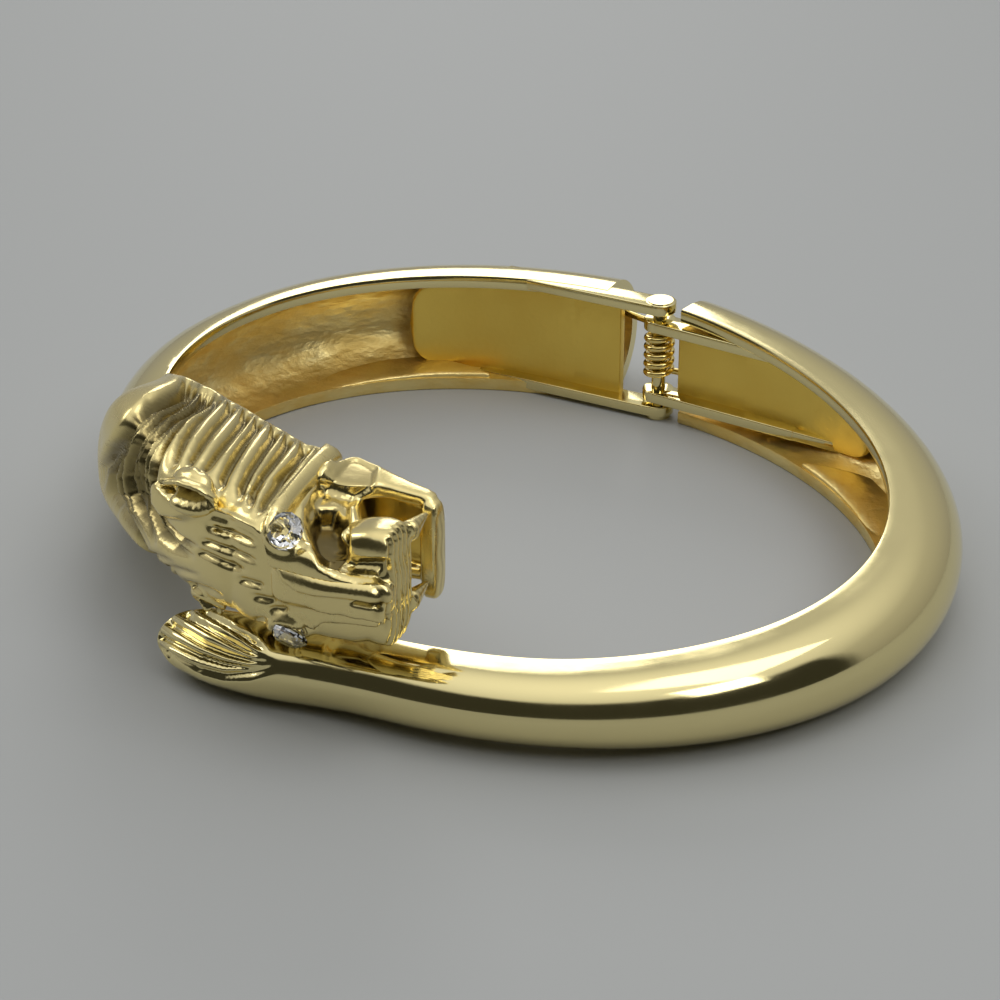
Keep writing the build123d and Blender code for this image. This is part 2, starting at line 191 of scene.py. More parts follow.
# %% [markdown]
# ## Gold-tone plate
# The plating is a pale yellow gold. Polished metal is mostly its reflections, so the shader stays simple:
# a metallic surface, slightly uneven roughness where fingers have dulled it, and a very faint bump for
# the ripples that hand polishing leaves. The rough inside of a casting is blotchy, and a painted shade
# darkens the floors of the carving, so one helper can also mix in a second colour and that painted shade.

# %% Helper for a gold-tone metal
BLOTCH_EDGES = (0.35, 0.65)
COLOUR_EDGES = (0.38, 0.62)
BLOTCH_SCALE = 180.0
BLOTCH_DETAIL = 4.0
GRAIN_DETAIL = 6.0


def metal(name, colour, rough, grain_scale, grain_depth, second=None, blotch=BLOTCH_SCALE, squash=1.0,
          shade=None):
    """Metallic material whose roughness, between two levels, and grain, to a depth in millimetres, come
    from noise on Object coordinates. A second colour lies in blotches, and squash above 1 draws the
    noise out into level streaks. A painted shade, for the carving's hollows, lies where the mesh's own
    attribute for it is high."""
    material = bpy.data.materials.new(name)
    material.use_nodes = True
    nodes = material.node_tree.nodes
    link = material.node_tree.links.new
    shader = nodes["Principled BSDF"]
    shader.inputs["Metallic"].default_value = 1.0
    shader.inputs["Base Color"].default_value = colour
    coordinates = nodes.new("ShaderNodeTexCoord")
    streaks = nodes.new("ShaderNodeMapping")
    streaks.inputs["Scale"].default_value = (1.0, 1.0, squash)
    link(coordinates.outputs["Object"], streaks.inputs["Vector"])
    patches = nodes.new("ShaderNodeTexNoise")
    patches.inputs["Scale"].default_value = blotch
    patches.inputs["Detail"].default_value = BLOTCH_DETAIL
    link(streaks.outputs["Vector"], patches.inputs["Vector"])
    spread = nodes.new("ShaderNodeMapRange")
    for socket, value in zip(("From Min", "From Max", "To Min", "To Max"), (*BLOTCH_EDGES, *rough)):
        spread.inputs[socket].default_value = value
    link(patches.outputs["Fac"], spread.inputs["Value"])
    link(spread.outputs["Result"], shader.inputs["Roughness"])
    if second:
        mix = nodes.new("ShaderNodeMix")
        mix.data_type = "RGBA"
        mix.inputs["A"].default_value = colour
        mix.inputs["B"].default_value = second
        ramp = nodes.new("ShaderNodeValToRGB")
        for element, edge in zip(ramp.color_ramp.elements, COLOUR_EDGES):
            element.position = edge
        link(patches.outputs["Fac"], ramp.inputs["Fac"])
        link(ramp.outputs["Color"], mix.inputs["Factor"])
        link(mix.outputs["Result"], shader.inputs["Base Color"])
    if shade:
        # Painted shade: a vertex attribute darkens the base colour where shade falls in the carving
        painted_shade_layer = nodes.new("ShaderNodeAttribute")
        painted_shade_layer.attribute_name = "painted_shade_layer"
        painted_shade = nodes.new("ShaderNodeMix")
        painted_shade.data_type = "RGBA"
        painted_shade.inputs["A"].default_value = colour
        painted_shade.inputs["B"].default_value = shade
        link(painted_shade_layer.outputs["Fac"], painted_shade.inputs["Factor"])
        link(painted_shade.outputs["Result"], shader.inputs["Base Color"])
    grain = nodes.new("ShaderNodeTexNoise")
    grain.inputs["Scale"].default_value = grain_scale
    grain.inputs["Detail"].default_value = GRAIN_DETAIL
    link(streaks.outputs["Vector"], grain.inputs["Vector"])
    bump = nodes.new("ShaderNodeBump")
    bump.inputs["Strength"].default_value = 1.0
    bump.inputs["Distance"].default_value = grain_depth * MM
    link(grain.outputs["Fac"], bump.inputs["Height"])
    link(bump.outputs["Normal"], shader.inputs["Normal"])
    return material


# %% The bracelet's golds
GOLD = (0.85, 0.735, 0.37, 1.0)
GOLD_WARM = (0.89, 0.745, 0.345, 1.0)
# GOLD_SHADE is a painted shade for the floors of the carving, the cheek's hollow and the ear's cup
GOLD_SHADE = (0.17, 0.13, 0.05, 1.0)
GOLD_DEEP = (0.98, 0.81, 0.37, 1.0)
GOLD_AMBER = (0.92, 0.69, 0.24, 1.0)
GOLD_DULL = (0.95, 0.69, 0.15, 1.0)
GOLD_WIRE = (0.90, 0.72, 0.28, 1.0)
polished = metal("polished_gold", GOLD, rough=(0.07, 0.16), grain_scale=260.0, grain_depth=0.012)
cast_inside = metal("cast_inside", GOLD_DEEP, rough=(0.34, 0.52), grain_scale=520.0, grain_depth=0.20,
                    second=GOLD_AMBER, blotch=260.0, squash=2.2)
plate_gold = metal("brushed_plate", GOLD_DULL, rough=(0.34, 0.48), grain_scale=2200.0, grain_depth=0.03)
carved = metal("carved_gold", GOLD_WARM, rough=(0.17, 0.30), grain_scale=1400.0, grain_depth=0.02,
               shade=GOLD_SHADE)
wire_gold = metal("spring_wire", GOLD_WIRE, rough=(0.10, 0.18), grain_scale=900.0, grain_depth=0.008)
print("golds", [m.name for m in (polished, cast_inside, plate_gold, carved, wire_gold)])

# %% [markdown]
# ## Clear stones
# The lion's eyes are clear paste stones. Such glass is heavy with lead, so it bends light more than window
# glass does. The shader transmits everything and gets that high index of refraction.

# %% Crystal
CRYSTAL_TINT = (0.97, 0.98, 1.0, 1.0)
CRYSTAL_BEND = 1.9
crystal = bpy.data.materials.new("crystal")
crystal.use_nodes = True
crystal_shader = crystal.node_tree.nodes["Principled BSDF"]
for socket, value in (("Base Color", CRYSTAL_TINT), ("Transmission Weight", 1.0), ("Roughness", 0.0),
                      ("IOR", CRYSTAL_BEND)):
    crystal_shader.inputs[socket].default_value = value
print("stones", crystal.name)

# %% [markdown]
# ## Cast arms
# Each arm is a thin shell of D section, open towards the wrist. Its outside is polished and its inside is
# as it came from the mould. The grid runs round the whole section, out over the D and back along the
# hollow, so the wall's thickness is real and the rim can be rounded.

# %% Arms' sizes round the oval
ARM_HEIGHT = 10.0
ARM_THICK = 6.4
TAIL_START = 99.5
HEAD_START = 113.0
# Each row holds an angle, then low and high as shares of the height, and the thickness as a share
TAIL_ROWS = np.array([
    (99.5, 0.00, 0.985, 0.990),
    (62.0, 0.00, 0.855, 0.900),
    (30.0, 0.00, 0.760, 0.835),
    (2.0, 0.00, 0.690, 0.785),
    (-24.0, 0.03, 0.625, 0.750),
    (-46.0, 0.06, 0.560, 0.715),
    (-64.0, 0.05, 0.535, 0.680),
    (-71.0, 0.04, 0.515, 0.660),
    (-76.0, 0.03, 0.505, 0.700),
    (-80.0, 0.02, 0.503, 0.820),
    (-84.0, 0.02, 0.500, 0.980),
])
HEAD_ARM_ROWS = np.array([
    (113.0, 0.00, 1.00, 1.00),
    (135.0, 0.00, 1.00, 0.99),
    (160.0, 0.00, 1.00, 0.92),
    (184.0, 0.01, 1.00, 0.80),
    (204.0, 0.03, 1.01, 0.74),
    (216.0, 0.06, 1.02, 0.71),
    (222.0, 0.12, 1.02, 0.70),
    (227.0, 0.20, 1.00, 0.69),
    (232.0, 0.30, 0.98, 0.66),
])
print("rows of the tail arm and the head arm", len(TAIL_ROWS), len(HEAD_ARM_ROWS))

# %% Rows without corners
SAMPLE = 0.5
MARGIN = 30
BLUR_REACH = 30
ARM_BLUR = 7.0


def smooth_rows(rows, width=ARM_BLUR):
    """Function of an angle that follows a table's rows without their corners. It samples them every
    half degree, and a bell curve of that width in degrees blurs the samples."""
    rows = rows[rows[:, 0].argsort()]
    dense = np.arange(rows[0, 0] - MARGIN, rows[-1, 0] + MARGIN, SAMPLE)
    columns = [np.interp(dense, rows[:, 0], rows[:, k]) for k in range(1, rows.shape[1])]
    reach = np.arange(-BLUR_REACH, BLUR_REACH + 1) * SAMPLE
    weight = np.exp(-(reach / width) ** 2 * 2)
    weight /= weight.sum()
    soft = [np.convolve(np.pad(column, BLUR_REACH, mode="edge"), weight, mode="valid")
            for column in columns]
    return lambda angle: [float(np.interp(angle, dense, column)) for column in soft]


# %% One section of an arm
WALL = 1.05
RIM_ROUND = 0.28
LEAST_FLAT = 0.06
OUTER_STEPS = 36
INNER_STEPS = 24


def arm_outline(low, high, reach, inner_share):
    """Closed outline of an arm's section as (out, height) points: the D, the rims and the hollow. The
    corner points of a rim are shares of its rounding."""
    middle = (low + high) / 2
    radius = (high - low) / 2
    bend = max(reach - radius, LEAST_FLAT * reach)
    points = [(RIM_ROUND * 0.3, low + RIM_ROUND * 0.08), (RIM_ROUND, low)]
    for step in (1, 2):
        points.append((RIM_ROUND + (bend - RIM_ROUND) * step / 3, low))
    for step in range(OUTER_STEPS + 1):
        turn = radians(-90 + 180 * step / OUTER_STEPS)
        points.append((bend + (reach - bend) * cos(turn), middle + radius * sin(turn)))
    for step in (2, 1):
        points.append((RIM_ROUND + (bend - RIM_ROUND) * step / 3, high))
    points += [(RIM_ROUND, high), (RIM_ROUND * 0.3, high - RIM_ROUND * 0.08)]
    points += [(0, high - RIM_ROUND * 0.6)]
    outer_count = len(points)
    points += [(0, high - WALL + RIM_ROUND * 0.5), (RIM_ROUND * 0.2, high - WALL + RIM_ROUND * 0.1)]
    inner_radius = radius - WALL
    inner_reach = (reach - WALL) * inner_share
    inner_bend = bend * inner_share
    for step in range(INNER_STEPS + 1):
        turn = radians(90 - 180 * step / INNER_STEPS)
        out = inner_bend + (inner_reach - inner_bend) * cos(turn)
        points.append((max(out, RIM_ROUND * 0.3), middle + inner_radius * sin(turn)))
    points += [(RIM_ROUND * 0.2, low + WALL - RIM_ROUND * 0.1), (0, low + WALL - RIM_ROUND * 0.5)]
    points += [(0, low + RIM_ROUND * 0.6)]
    return points, outer_count


# %% Both arms
HEAD_END = 229.0
HEAD_HOLLOW_END = 208.0
HEAD_DOME = 14.0
TAIL_END = -80.0
TAIL_HOLLOW_END = -54.0
TAIL_DOME = 16.0


def make_arm(name, rows, start, end, hollow_end, dome):
    """Arm between two angles. Its hollow rounds off over the dome's degrees, and past the hollow's end
    the casting is solid."""
    size_at = smooth_rows(rows)
    steps = ceil(abs(end - start))
    sections = []
    for step in range(steps + 1):
        angle = start + (end - start) * step / steps
        low, high, thick = size_at(angle)
        left = (hollow_end - angle) / dome if end > start else (angle - hollow_end) / dome
        share = sqrt(1 - (1 - min(max(left, 0.0), 1.0)) ** 2)
        points, outer_count = arm_outline(low * ARM_HEIGHT, high * ARM_HEIGHT, thick * ARM_THICK, share)
        sections.append([place(angle, out, height) for out, height in points])
    count = len(sections[0])

    def where(along, around):
        return sections[round(along * steps)][round(around * count) % count]

    def paint(along, around):
        return 1 if around * count > outer_count + 1 else 0

    arm = grid_sheet(steps, count, where, paint)
    piece = finish_mesh(arm, name, [polished, cast_inside], sharp=50)
    print(name, "faces", len(piece.data.polygons))
    return piece


head_shell = make_arm(
    "head_arm_shell", HEAD_ARM_ROWS, HEAD_START, HEAD_END, HEAD_HOLLOW_END, HEAD_DOME
)
tail_shell = make_arm("tail_arm_shell", TAIL_ROWS, TAIL_START, TAIL_END, TAIL_HOLLOW_END, TAIL_DOME)
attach(head_shell, "head_side")
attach(tail_shell, "tail_side")

# %% [markdown]
# ## Hinge leaves
# A strip of sheet metal, folded to a U, is soldered into each arm. Its flanges run on past the plate as
# round ears that hold the pin. The plate is left matte, and the folded edges catch the light. Bars with
# rounded edges are enough for such a bent strip, and short discs make the ears.

# %% A bar with rounded edges
BAR_ROUND = 0.12


def bar(mesh_edit, low, high, turn, slot=0):
    """Box between two corners in the leaf's own frame, which is turned about the pin."""
    made = bmesh.ops.create_cube(mesh_edit, size=1.0)["verts"]
    size = [b - a for a, b in zip(low, high)]
    middle = [(a + b) / 2 for a, b in zip(low, high)]
    bmesh.ops.scale(mesh_edit, vec=size, verts=made)
    bmesh.ops.translate(mesh_edit, vec=middle, verts=made)
    bmesh.ops.rotate(mesh_edit, cent=(0, 0, 0), matrix=Matrix.Rotation(turn, 3, "Z"), verts=made)
    for face in dict.fromkeys(face for vert in made for face in vert.link_faces):
        face.material_index = slot
    edges = list(dict.fromkeys(edge for vert in made for edge in vert.link_edges))
    bmesh.ops.bevel(
        mesh_edit, geom=edges, offset=BAR_ROUND, segments=3, profile=0.5, affect="EDGES", material=-1
    )


# %% An ear round the pin
LEAF_WALL = 0.85
EAR_RADIUS = 1.25
EAR_ROUND = 0.1
EAR_SEGMENTS = 40
SLIVER = 0.03
LEVEL_GAP = 0.01


def ear_disc(mesh_edit, low):
    """Round ear of a flange that starts at a height. It is a sliver thicker than the flange, so that no
    two faces lie in one plane."""
    made = bmesh.ops.create_cone(
        mesh_edit, cap_ends=True, segments=EAR_SEGMENTS, radius1=EAR_RADIUS, radius2=EAR_RADIUS,
        depth=LEAF_WALL + SLIVER,
    )["verts"]
    bmesh.ops.translate(mesh_edit, vec=(0, 0, low + LEAF_WALL / 2), verts=made)
    edges = dict.fromkeys(edge for vert in made for edge in vert.link_edges)
    level = [edge for edge in edges if abs(edge.verts[0].co.z - edge.verts[1].co.z) < LEVEL_GAP]
    bmesh.ops.bevel(
        mesh_edit, geom=level, offset=EAR_ROUND, segments=3, profile=0.5, affect="EDGES", material=-1
    )


# %% Both leaves
LEAF_DEPTH = 2.1
PLATE_INSET = 0.1


def make_leaf(name, way, turn, low, height, plate_start, length, strip_length):
    """Leaf with its plate, two flanges and two ears, in millimetres round the pin. A shallow strip
    of the lower flange runs further into the arm than the plate."""
    leaf = bmesh.new()
    front = -EAR_RADIUS
    back = front + LEAF_DEPTH
    ends = sorted((0.0, way * length))
    plate = sorted((way * plate_start, way * length))
    strip = sorted((way * plate_start, way * strip_length))
    strip_low = (strip[0], front + SLIVER, low + SLIVER)
    bar(leaf, strip_low, (strip[1], front + LEAF_WALL, low + LEAF_WALL - SLIVER), turn)
    for flange in (low, low + height - LEAF_WALL):
        bar(leaf, (ends[0], front, flange), (ends[1], back, flange + LEAF_WALL), turn)
        ear_disc(leaf, flange)
    plate_low = (plate[0], back - LEAF_WALL, low + PLATE_INSET)
    bar(leaf, plate_low, (plate[1], back, low + height - PLATE_INSET), turn, slot=1)
    bmesh.ops.translate(leaf, vec=(pin_x, pin_y, 0), verts=leaf.verts)
    bmesh.ops.scale(leaf, vec=(MM, MM, MM), verts=leaf.verts)
    return finish_mesh(leaf, name, [polished, plate_gold])


head_leaf = make_leaf(
    "head_leaf", way=-1, turn=radians(17.0), low=0.35, height=9.6, plate_start=3.4, length=13.6,
    strip_length=15.5,
)
tail_leaf = make_leaf(
    "tail_leaf", way=1, turn=radians(12.0), low=1.575, height=6.9, plate_start=1.7, length=12.6,
    strip_length=17.0,
)
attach(head_leaf, "head_side")
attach(tail_leaf, "tail_side")
print("faces of the leaves", len(head_leaf.data.polygons), len(tail_leaf.data.polygons))

# %% [markdown]
# ## Coil spring
# The spring is one wire. A small circle is spun round the pin while it climbs, which is what a coil is,
# and each end is extruded on as a straight leg.

# %% Spring
WIRE = 0.52
COIL_RADIUS = 0.98
COIL_PITCH = 0.74
COIL_TURNS = 5 - 20 / 360
COIL_LOW = 3.6
SPRING_LEG = 5.0
WIRE_SEGMENTS = 14
STEPS_PER_TURN = 40
START_TURN = 10.0
coil_start = atan2(out_y, out_x) + radians(START_TURN)
spring_edit = bmesh.new()
disc = bmesh.ops.create_circle(
    spring_edit, cap_ends=False, segments=WIRE_SEGMENTS, radius=WIRE / 2
)["verts"]
bmesh.ops.rotate(spring_edit, cent=(0, 0, 0), matrix=Matrix.Rotation(pi / 2, 3, "X"), verts=disc)
bmesh.ops.translate(spring_edit, vec=(COIL_RADIUS, 0, COIL_LOW), verts=disc)
bmesh.ops.rotate(spring_edit, cent=(0, 0, 0), matrix=Matrix.Rotation(coil_start, 3, "Z"), verts=disc)
coil_steps = int(COIL_TURNS * STEPS_PER_TURN)
first_ring = list(spring_edit.edges)
spun = bmesh.ops.spin(
    spring_edit, geom=first_ring, cent=(0, 0, 0), axis=(0, 0, 1), angle=2 * pi * COIL_TURNS,
    dvec=(0, 0, COIL_PITCH * COIL_TURNS / coil_steps), steps=coil_steps, use_merge=False,
)
last_ring = [item for item in spun["geom_last"] if isinstance(item, bmesh.types.BMEdge)]
coil_end = coil_start + 2 * pi * COIL_TURNS
for ring, turn, way in ((first_ring, coil_start, -1), (last_ring, coil_end, 1)):
    grown = bmesh.ops.extrude_edge_only(spring_edit, edges=ring)["geom"]
    tip = [item for item in grown if isinstance(item, bmesh.types.BMVert)]
    reach = Vector((-sin(turn), cos(turn), 0)) * way * SPRING_LEG
    bmesh.ops.translate(spring_edit, vec=reach, verts=tip)
open_edges = [edge for edge in spring_edit.edges if edge.is_boundary]
bmesh.ops.holes_fill(spring_edit, edges=open_edges, sides=0)
bmesh.ops.recalc_face_normals(spring_edit, faces=spring_edit.faces)
bmesh.ops.translate(spring_edit, vec=(pin_x, pin_y, 0), verts=spring_edit.verts)
bmesh.ops.scale(spring_edit, vec=(MM, MM, MM), verts=spring_edit.verts)
spring = finish_mesh(spring_edit, "coil_spring", [wire_gold], sharp=60)
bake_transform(spring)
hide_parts("hinge_spring")
print("spring faces", len(spring.data.polygons))

# %% [markdown]
# ## Lion's head: a rough form first
# A sculptor blocks a head out of simple lumps before cutting any hair. Here the lumps are closed grids of
# rounded sections that follow the oval: skull, brow, muzzle, nose, jaw and ears. They are then melted into
# one skin with a voxel remesh, so that the carving can run over their joints.

# %% Rounded lumps along the oval
HEAD_MIDDLE = 11.35
STEP_MM = 0.48
LUMP_BLUR = 1.5
END_SHARES = (0.0, 0.82, 0.96, 1.0)


def lump(rows, power, steps_along, steps_round=64, lean=0.0):
    """Closed form through rows of (angle, inner, outer, low, high) in millimetres, low and high from
    the head's middle. A higher power makes a squarer section, and lean tips its sections forwards."""
    size_at = smooth_rows(np.array(rows), LUMP_BLUR)
    first, last = rows[0][0], rows[-1][0]

    def where(along, around):
        angle = first + (last - first) * along
        inner, outer, low, high = size_at(angle)
        end = round(min(along, 1 - along) * steps_along)
        shrink = END_SHARES[min(end, len(END_SHARES) - 1)]
        turn = 2 * pi * around
        ways = [abs(part) ** (2 / power) * (1 if part > 0 else -1) for part in (cos(turn), sin(turn))]
        out = (inner + outer) / 2 + (outer - inner) / 2 * ways[0] * shrink
        up = (low + high) / 2 + (high - low) / 2 * ways[1] * shrink
        return place(angle + lean * out / STEP_MM, out, HEAD_MIDDLE + up)

    return grid_sheet(steps_along, steps_round, where, close_ends=False)


# %% Balls and fangs
BALL_SEGMENTS = 32
BALL_RINGS = 20
FANG_SEGMENTS = 24
FANG_TIP = 0.15


def ball(angle, out, up, size, tilt=0.0):
    """Ellipsoid at a place, its size given along the oval, outwards and up."""
    shape = bmesh.new()
    bmesh.ops.create_uvsphere(shape, u_segments=BALL_SEGMENTS, v_segments=BALL_RINGS, radius=1.0)
    bmesh.ops.scale(shape, vec=[s * MM for s in size], verts=shape.verts)
    bmesh.ops.rotate(shape, cent=(0, 0, 0), matrix=Matrix.Rotation(tilt, 3, "Y"), verts=shape.verts)
    way_x, way_y = outward(angle)
    heading = Matrix.Rotation(atan2(way_y, way_x) + pi / 2, 3, "Z")
    bmesh.ops.rotate(shape, cent=(0, 0, 0), matrix=heading, verts=shape.verts)
    bmesh.ops.translate(shape, vec=place(angle, out, HEAD_MIDDLE + up), verts=shape.verts)
    return shape


def fang(angle, out, up, length, radius):
    """Pointed tooth that hangs from the muzzle towards the jaw."""
    shape = bmesh.new()
    bmesh.ops.create_cone(
        shape, cap_ends=True, segments=FANG_SEGMENTS, radius1=radius * MM, radius2=FANG_TIP * MM,
        depth=length * MM,
    )
    way_x, way_y = outward(angle)
    heading = Vector((-way_x, -way_y, 0)).to_track_quat("Z", "Y").to_matrix()
    bmesh.ops.rotate(shape, cent=(0, 0, 0), matrix=heading, verts=shape.verts)
    bmesh.ops.translate(shape, vec=place(angle, out, HEAD_MIDDLE + up), verts=shape.verts)
    return shape


# %% Melting lumps into one skin
SOFTEN_SHARE = 0.5
SOFTEN_ROUNDS = 5


def join_lumps(shapes, name, voxel):
    """One skin over several closed shapes, with a voxel size in millimetres."""
    mesh = bpy.data.meshes.new(name + "_rough")
    whole = bmesh.new()
    for shape in shapes:
        part = bpy.data.meshes.new("part")
        shape.to_mesh(part)
        shape.free()
        whole.from_mesh(part)
        bpy.data.meshes.remove(part)
    whole.to_mesh(mesh)
    whole.free()
    rough = bpy.data.objects.new(name + "_rough", mesh)
    bpy.context.collection.objects.link(rough)
    melt = rough.modifiers.new("melt", "REMESH")
    melt.mode = "VOXEL"
    melt.voxel_size = voxel * MM
    soften = rough.modifiers.new("soften", "SMOOTH")
    soften.factor = SOFTEN_SHARE
    soften.iterations = SOFTEN_ROUNDS
    ready = rough.evaluated_get(bpy.context.evaluated_depsgraph_get())
    skin = bpy.data.meshes.new_from_object(ready)
    skin.name = name
    bpy.data.objects.remove(rough)
    bpy.data.meshes.remove(mesh)
    return skin


# %% [markdown]
# ## The head's lumps
# Each table's rows hold an angle round the oval, how far in and out the lump reaches there, and how low
# and high, from the head's middle. The skull runs from the arm to the brow, the face narrows towards the
# muzzle, and the bridge and the nose lie on it. The jaw hangs open below, on two thin sides and a chin.

# %% Skull, brow and face
SKULL = [
    (-149.0, 0.7, 3.0, -8.3, -3.4),
    (-141.0, -1.2, 4.2, -9.8, -0.1),
    (-137.5, -1.8, 4.5, -9.5, 0.9),
    (-134.0, -2.3, 4.8, -9.0, 1.8),
    (-125.0, -3.3, 5.1, -8.0, 3.4),
    (-117.0, -4.0, 5.35, -7.2, 4.2),
    (-107.0, -4.5, 5.85, -6.4, 4.7),
    (-97.0, -4.7, 6.5, -5.5, 4.8),
    (-88.0, -4.7, 7.0, -5.2, 4.6),
    (-83.0, -4.6, 7.0, -4.7, 4.4),
]
BROW = [
    (-92.0, -4.1, 6.2, -4.3, 3.9),
    (-88.0, -4.5, 6.85, -4.8, 4.35),
    (-85.0, -4.6, 7.0, -4.7, 4.4),
    (-82.5, -4.4, 6.9, -4.5, 4.3),
]
FACE = [
    (-84.0, -3.8, 6.1, -4.2, 3.4),
    (-78.0, -3.0, 6.0, -4.8, 3.0),
    (-74.0, -0.6, 5.7, -4.7, 2.6),
    (-70.0, 0.6, 5.4, -4.4, 2.6),
    (-66.0, 1.2, 5.0, -3.4, 2.9),
]
BRIDGE = [
    (-80.0, 5.4, 6.9, -3.7, 3.6),
    (-75.0, 5.2, 6.7, -2.6, 2.5),
    (-70.0, 4.8, 6.3, -2.1, 2.0),
    (-65.2, 4.2, 5.6, -2.2, 2.1),
]
print("rows of skull, brow, face and bridge", len(SKULL), len(BROW), len(FACE), len(BRIDGE))

# %% Muzzle, nose and jaw
MUZZLE = [
    (-74.0, 1.2, 4.6, -3.1, 2.9),
    (-71.0, 0.9, 4.9, -3.9, 3.7),
    (-68.0, 0.9, 5.0, -4.3, 4.1),
    (-65.0, 1.3, 4.8, -4.2, 4.0),
]
NOSE = [
    (-79.0, 5.0, 7.2, -1.2, 1.2),
    (-72.0, 4.8, 6.95, -1.0, 1.0),
    (-64.5, 4.0, 6.1, -1.1, 1.1),
]
JAW_FRONT = [
    (-68.6, -4.1, -2.3, -4.3, 2.9),
    (-67.0, -4.2, -2.2, -4.3, 2.9),
    (-65.4, -3.9, -2.3, -4.2, 2.7),
]
CHIN = [
    (-84.0, -4.6, -3.7, -3.4, 3.0),
    (-76.0, -4.5, -3.6, -3.2, 2.8),
    (-66.5, -4.0, -3.2, -3.2, 2.6),
]
# Each row of a jaw's side holds its middle and its half width in place of low and high
JAW_SIDE = [
    (-84.0, -4.6, -0.2, 3.0, 1.1),
    (-78.5, -4.6, -0.9, 3.0, 0.8),
    (-75.0, -4.5, -2.6, 2.9, 0.55),
    (-66.5, -4.0, -2.9, 2.7, 0.45),
]
print("rows of muzzle, nose and jaw", len(MUZZLE), len(NOSE), len(JAW_FRONT), len(CHIN), len(JAW_SIDE))

# %% Put the rough head together
FANG_ANGLE = -66.2
FANG_OUT = -0.1
FANG_SPREAD = 2.55
FANG_SHIFT = 0.25
FANG_LENGTH = 3.0
FANG_RADIUS = 0.80
EAR_ANGLE = -91.5
# Distance outwards, height from the head's middle, size and tilt of each ear
EAR_BALLS = [(6.2, 4.1, (1.9, 1.0, 1.3), -12), (5.4, -4.6, (1.7, 0.8, 1.0), 12)]
JAW_POWER = 4.0
JAW_STEPS = (30, 40)
HEAD_VOXEL = 0.15
# Rows, power, steps along, steps round and lean of each lump
HEAD_LUMPS = [
    (SKULL, 3.0, 64, 96, 0.0),
    (BROW, 4.5, 30, 96, 0.30),
    (FACE, 3.5, 30, 64, 0.0),
    (BRIDGE, 5.0, 30, 64, 0.0),
    (MUZZLE, 4.0, 24, 64, 0.0),
    (NOSE, 7.0, 30, 64, 0.0),
    (JAW_FRONT, 4.0, 14, 64, 0.0),
    (CHIN, 6.0, 20, 64, 0.0),
]
head_parts = [lump(*row) for row in HEAD_LUMPS]
for side in (-1, 1):
    jaw = [(angle, inner, outer, middle * side - half, middle * side + half)
           for angle, inner, outer, middle, half in JAW_SIDE]
    head_parts.append(lump(jaw, JAW_POWER, *JAW_STEPS))
    fang_up = FANG_SPREAD * side + FANG_SHIFT
    head_parts.append(fang(FANG_ANGLE, FANG_OUT, fang_up, FANG_LENGTH, FANG_RADIUS))
for out, up, size, tilt in EAR_BALLS:
    head_parts.append(ball(EAR_ANGLE, out, up, size, radians(tilt)))
head_skin = join_lumps(head_parts, "lion_head", HEAD_VOXEL)
print("head skin vertices", len(head_skin.vertices))

# %% [markdown]
# ## The nape flows into the arm
# On the real piece the mane's hair stops at a slanting edge, and behind it the polished arm begins. The
# rough skin runs on there as a plain lump, so its vertices are moved: the nape falls off outwards, and
# what lies behind the mane's edge sinks into the arm's own section, so the hair ends as a low step.

# %% Nape and mane's edge
NAPE_START = -14.0
NAPE_END = -22.0
NAPE_FALL = 0.74
NAPE_LOW = 4.0
NAPE_HIGH = 7.0
NAPE_MOST = 1.3
NAPE_IN = 0.5
NAPE_REACH = 5.5
EDGE_START = -24.5
EDGE_SLANT = 1.18
EDGE_REACH = 4.5
EDGE_HEIGHTS = (3.0, 8.0)
EDGE_SOFT = 0.4
ARM_MIDDLE = (0.27, 5.4)
ARM_HALF = (4.0, 4.6)
LEAST_OUT = 0.35


def rise(value, low, high):
    """Smooth step from 0 to 1."""
    share = np.clip((value - low) / (high - low), 0, 1)
    return share * share * (3 - 2 * share)


def head_place_back(points):
    """Angle, distance outwards and height of points of the head, and how far each lies before or behind
    the head's middle in millimetres along the oval."""
    angle, out, height = place_back(points)
    angle = np.where(angle > 0, angle - 360, angle)
    return angle, out, height, (angle + 90) * STEP_MM


rough = np.empty(len(head_skin.vertices) * 3)
head_skin.vertices.foreach_get("co", rough)
angle, out, height, along = head_place_back(rough.reshape(-1, 3))
slope = rise(along, NAPE_START, NAPE_END)
drop = slope * np.clip((height - NAPE_LOW) / NAPE_HIGH, 0, NAPE_MOST) * NAPE_FALL
height = height - drop * np.clip(out + NAPE_IN, 0, NAPE_REACH)
mane_edge = EDGE_START + EDGE_SLANT * np.clip(out, 0, EDGE_REACH) * rise(height, *EDGE_HEIGHTS)
beyond = 1 - rise(along, mane_edge - EDGE_SOFT, mane_edge + EDGE_SOFT)
from_middle = (out - ARM_MIDDLE[0], height - ARM_MIDDLE[1])
over = np.maximum(np.hypot(from_middle[0] / ARM_HALF[0], from_middle[1] / ARM_HALF[1]), 1.0)
sunk_out = np.maximum(ARM_MIDDLE[0] + from_middle[0] / over, LEAST_OUT)
sunk_height = ARM_MIDDLE[1] + from_middle[1] / over
out = out + (sunk_out - out) * beyond
height = height + (sunk_height - height) * beyond
way_x, way_y = outward(angle)
moved = np.stack([centre_x + HALF_LENGTH * np.cos(np.radians(angle)) + out * way_x,
                  centre_y + HALF_DEPTH * np.sin(np.radians(angle)) + out * way_y, height], -1)
head_skin.vertices.foreach_set("co", (moved * MM).ravel())
head_skin.update()
print("vertices behind the mane's edge", int((beyond > 0.5).sum()))

# %% [markdown]
# ## Lion's head: carving
# The carving is easiest to draw as it is seen: short lines and outlines in the camera's picture, as a
# sculptor draws them on the block with a pencil. Each vertex that the camera sees sinks or rises along its
# own normal by what is drawn at its pixel. A vertex that the camera misses takes the drawing of its mirror
# image over the nose, so the far cheek is carved like the near one.

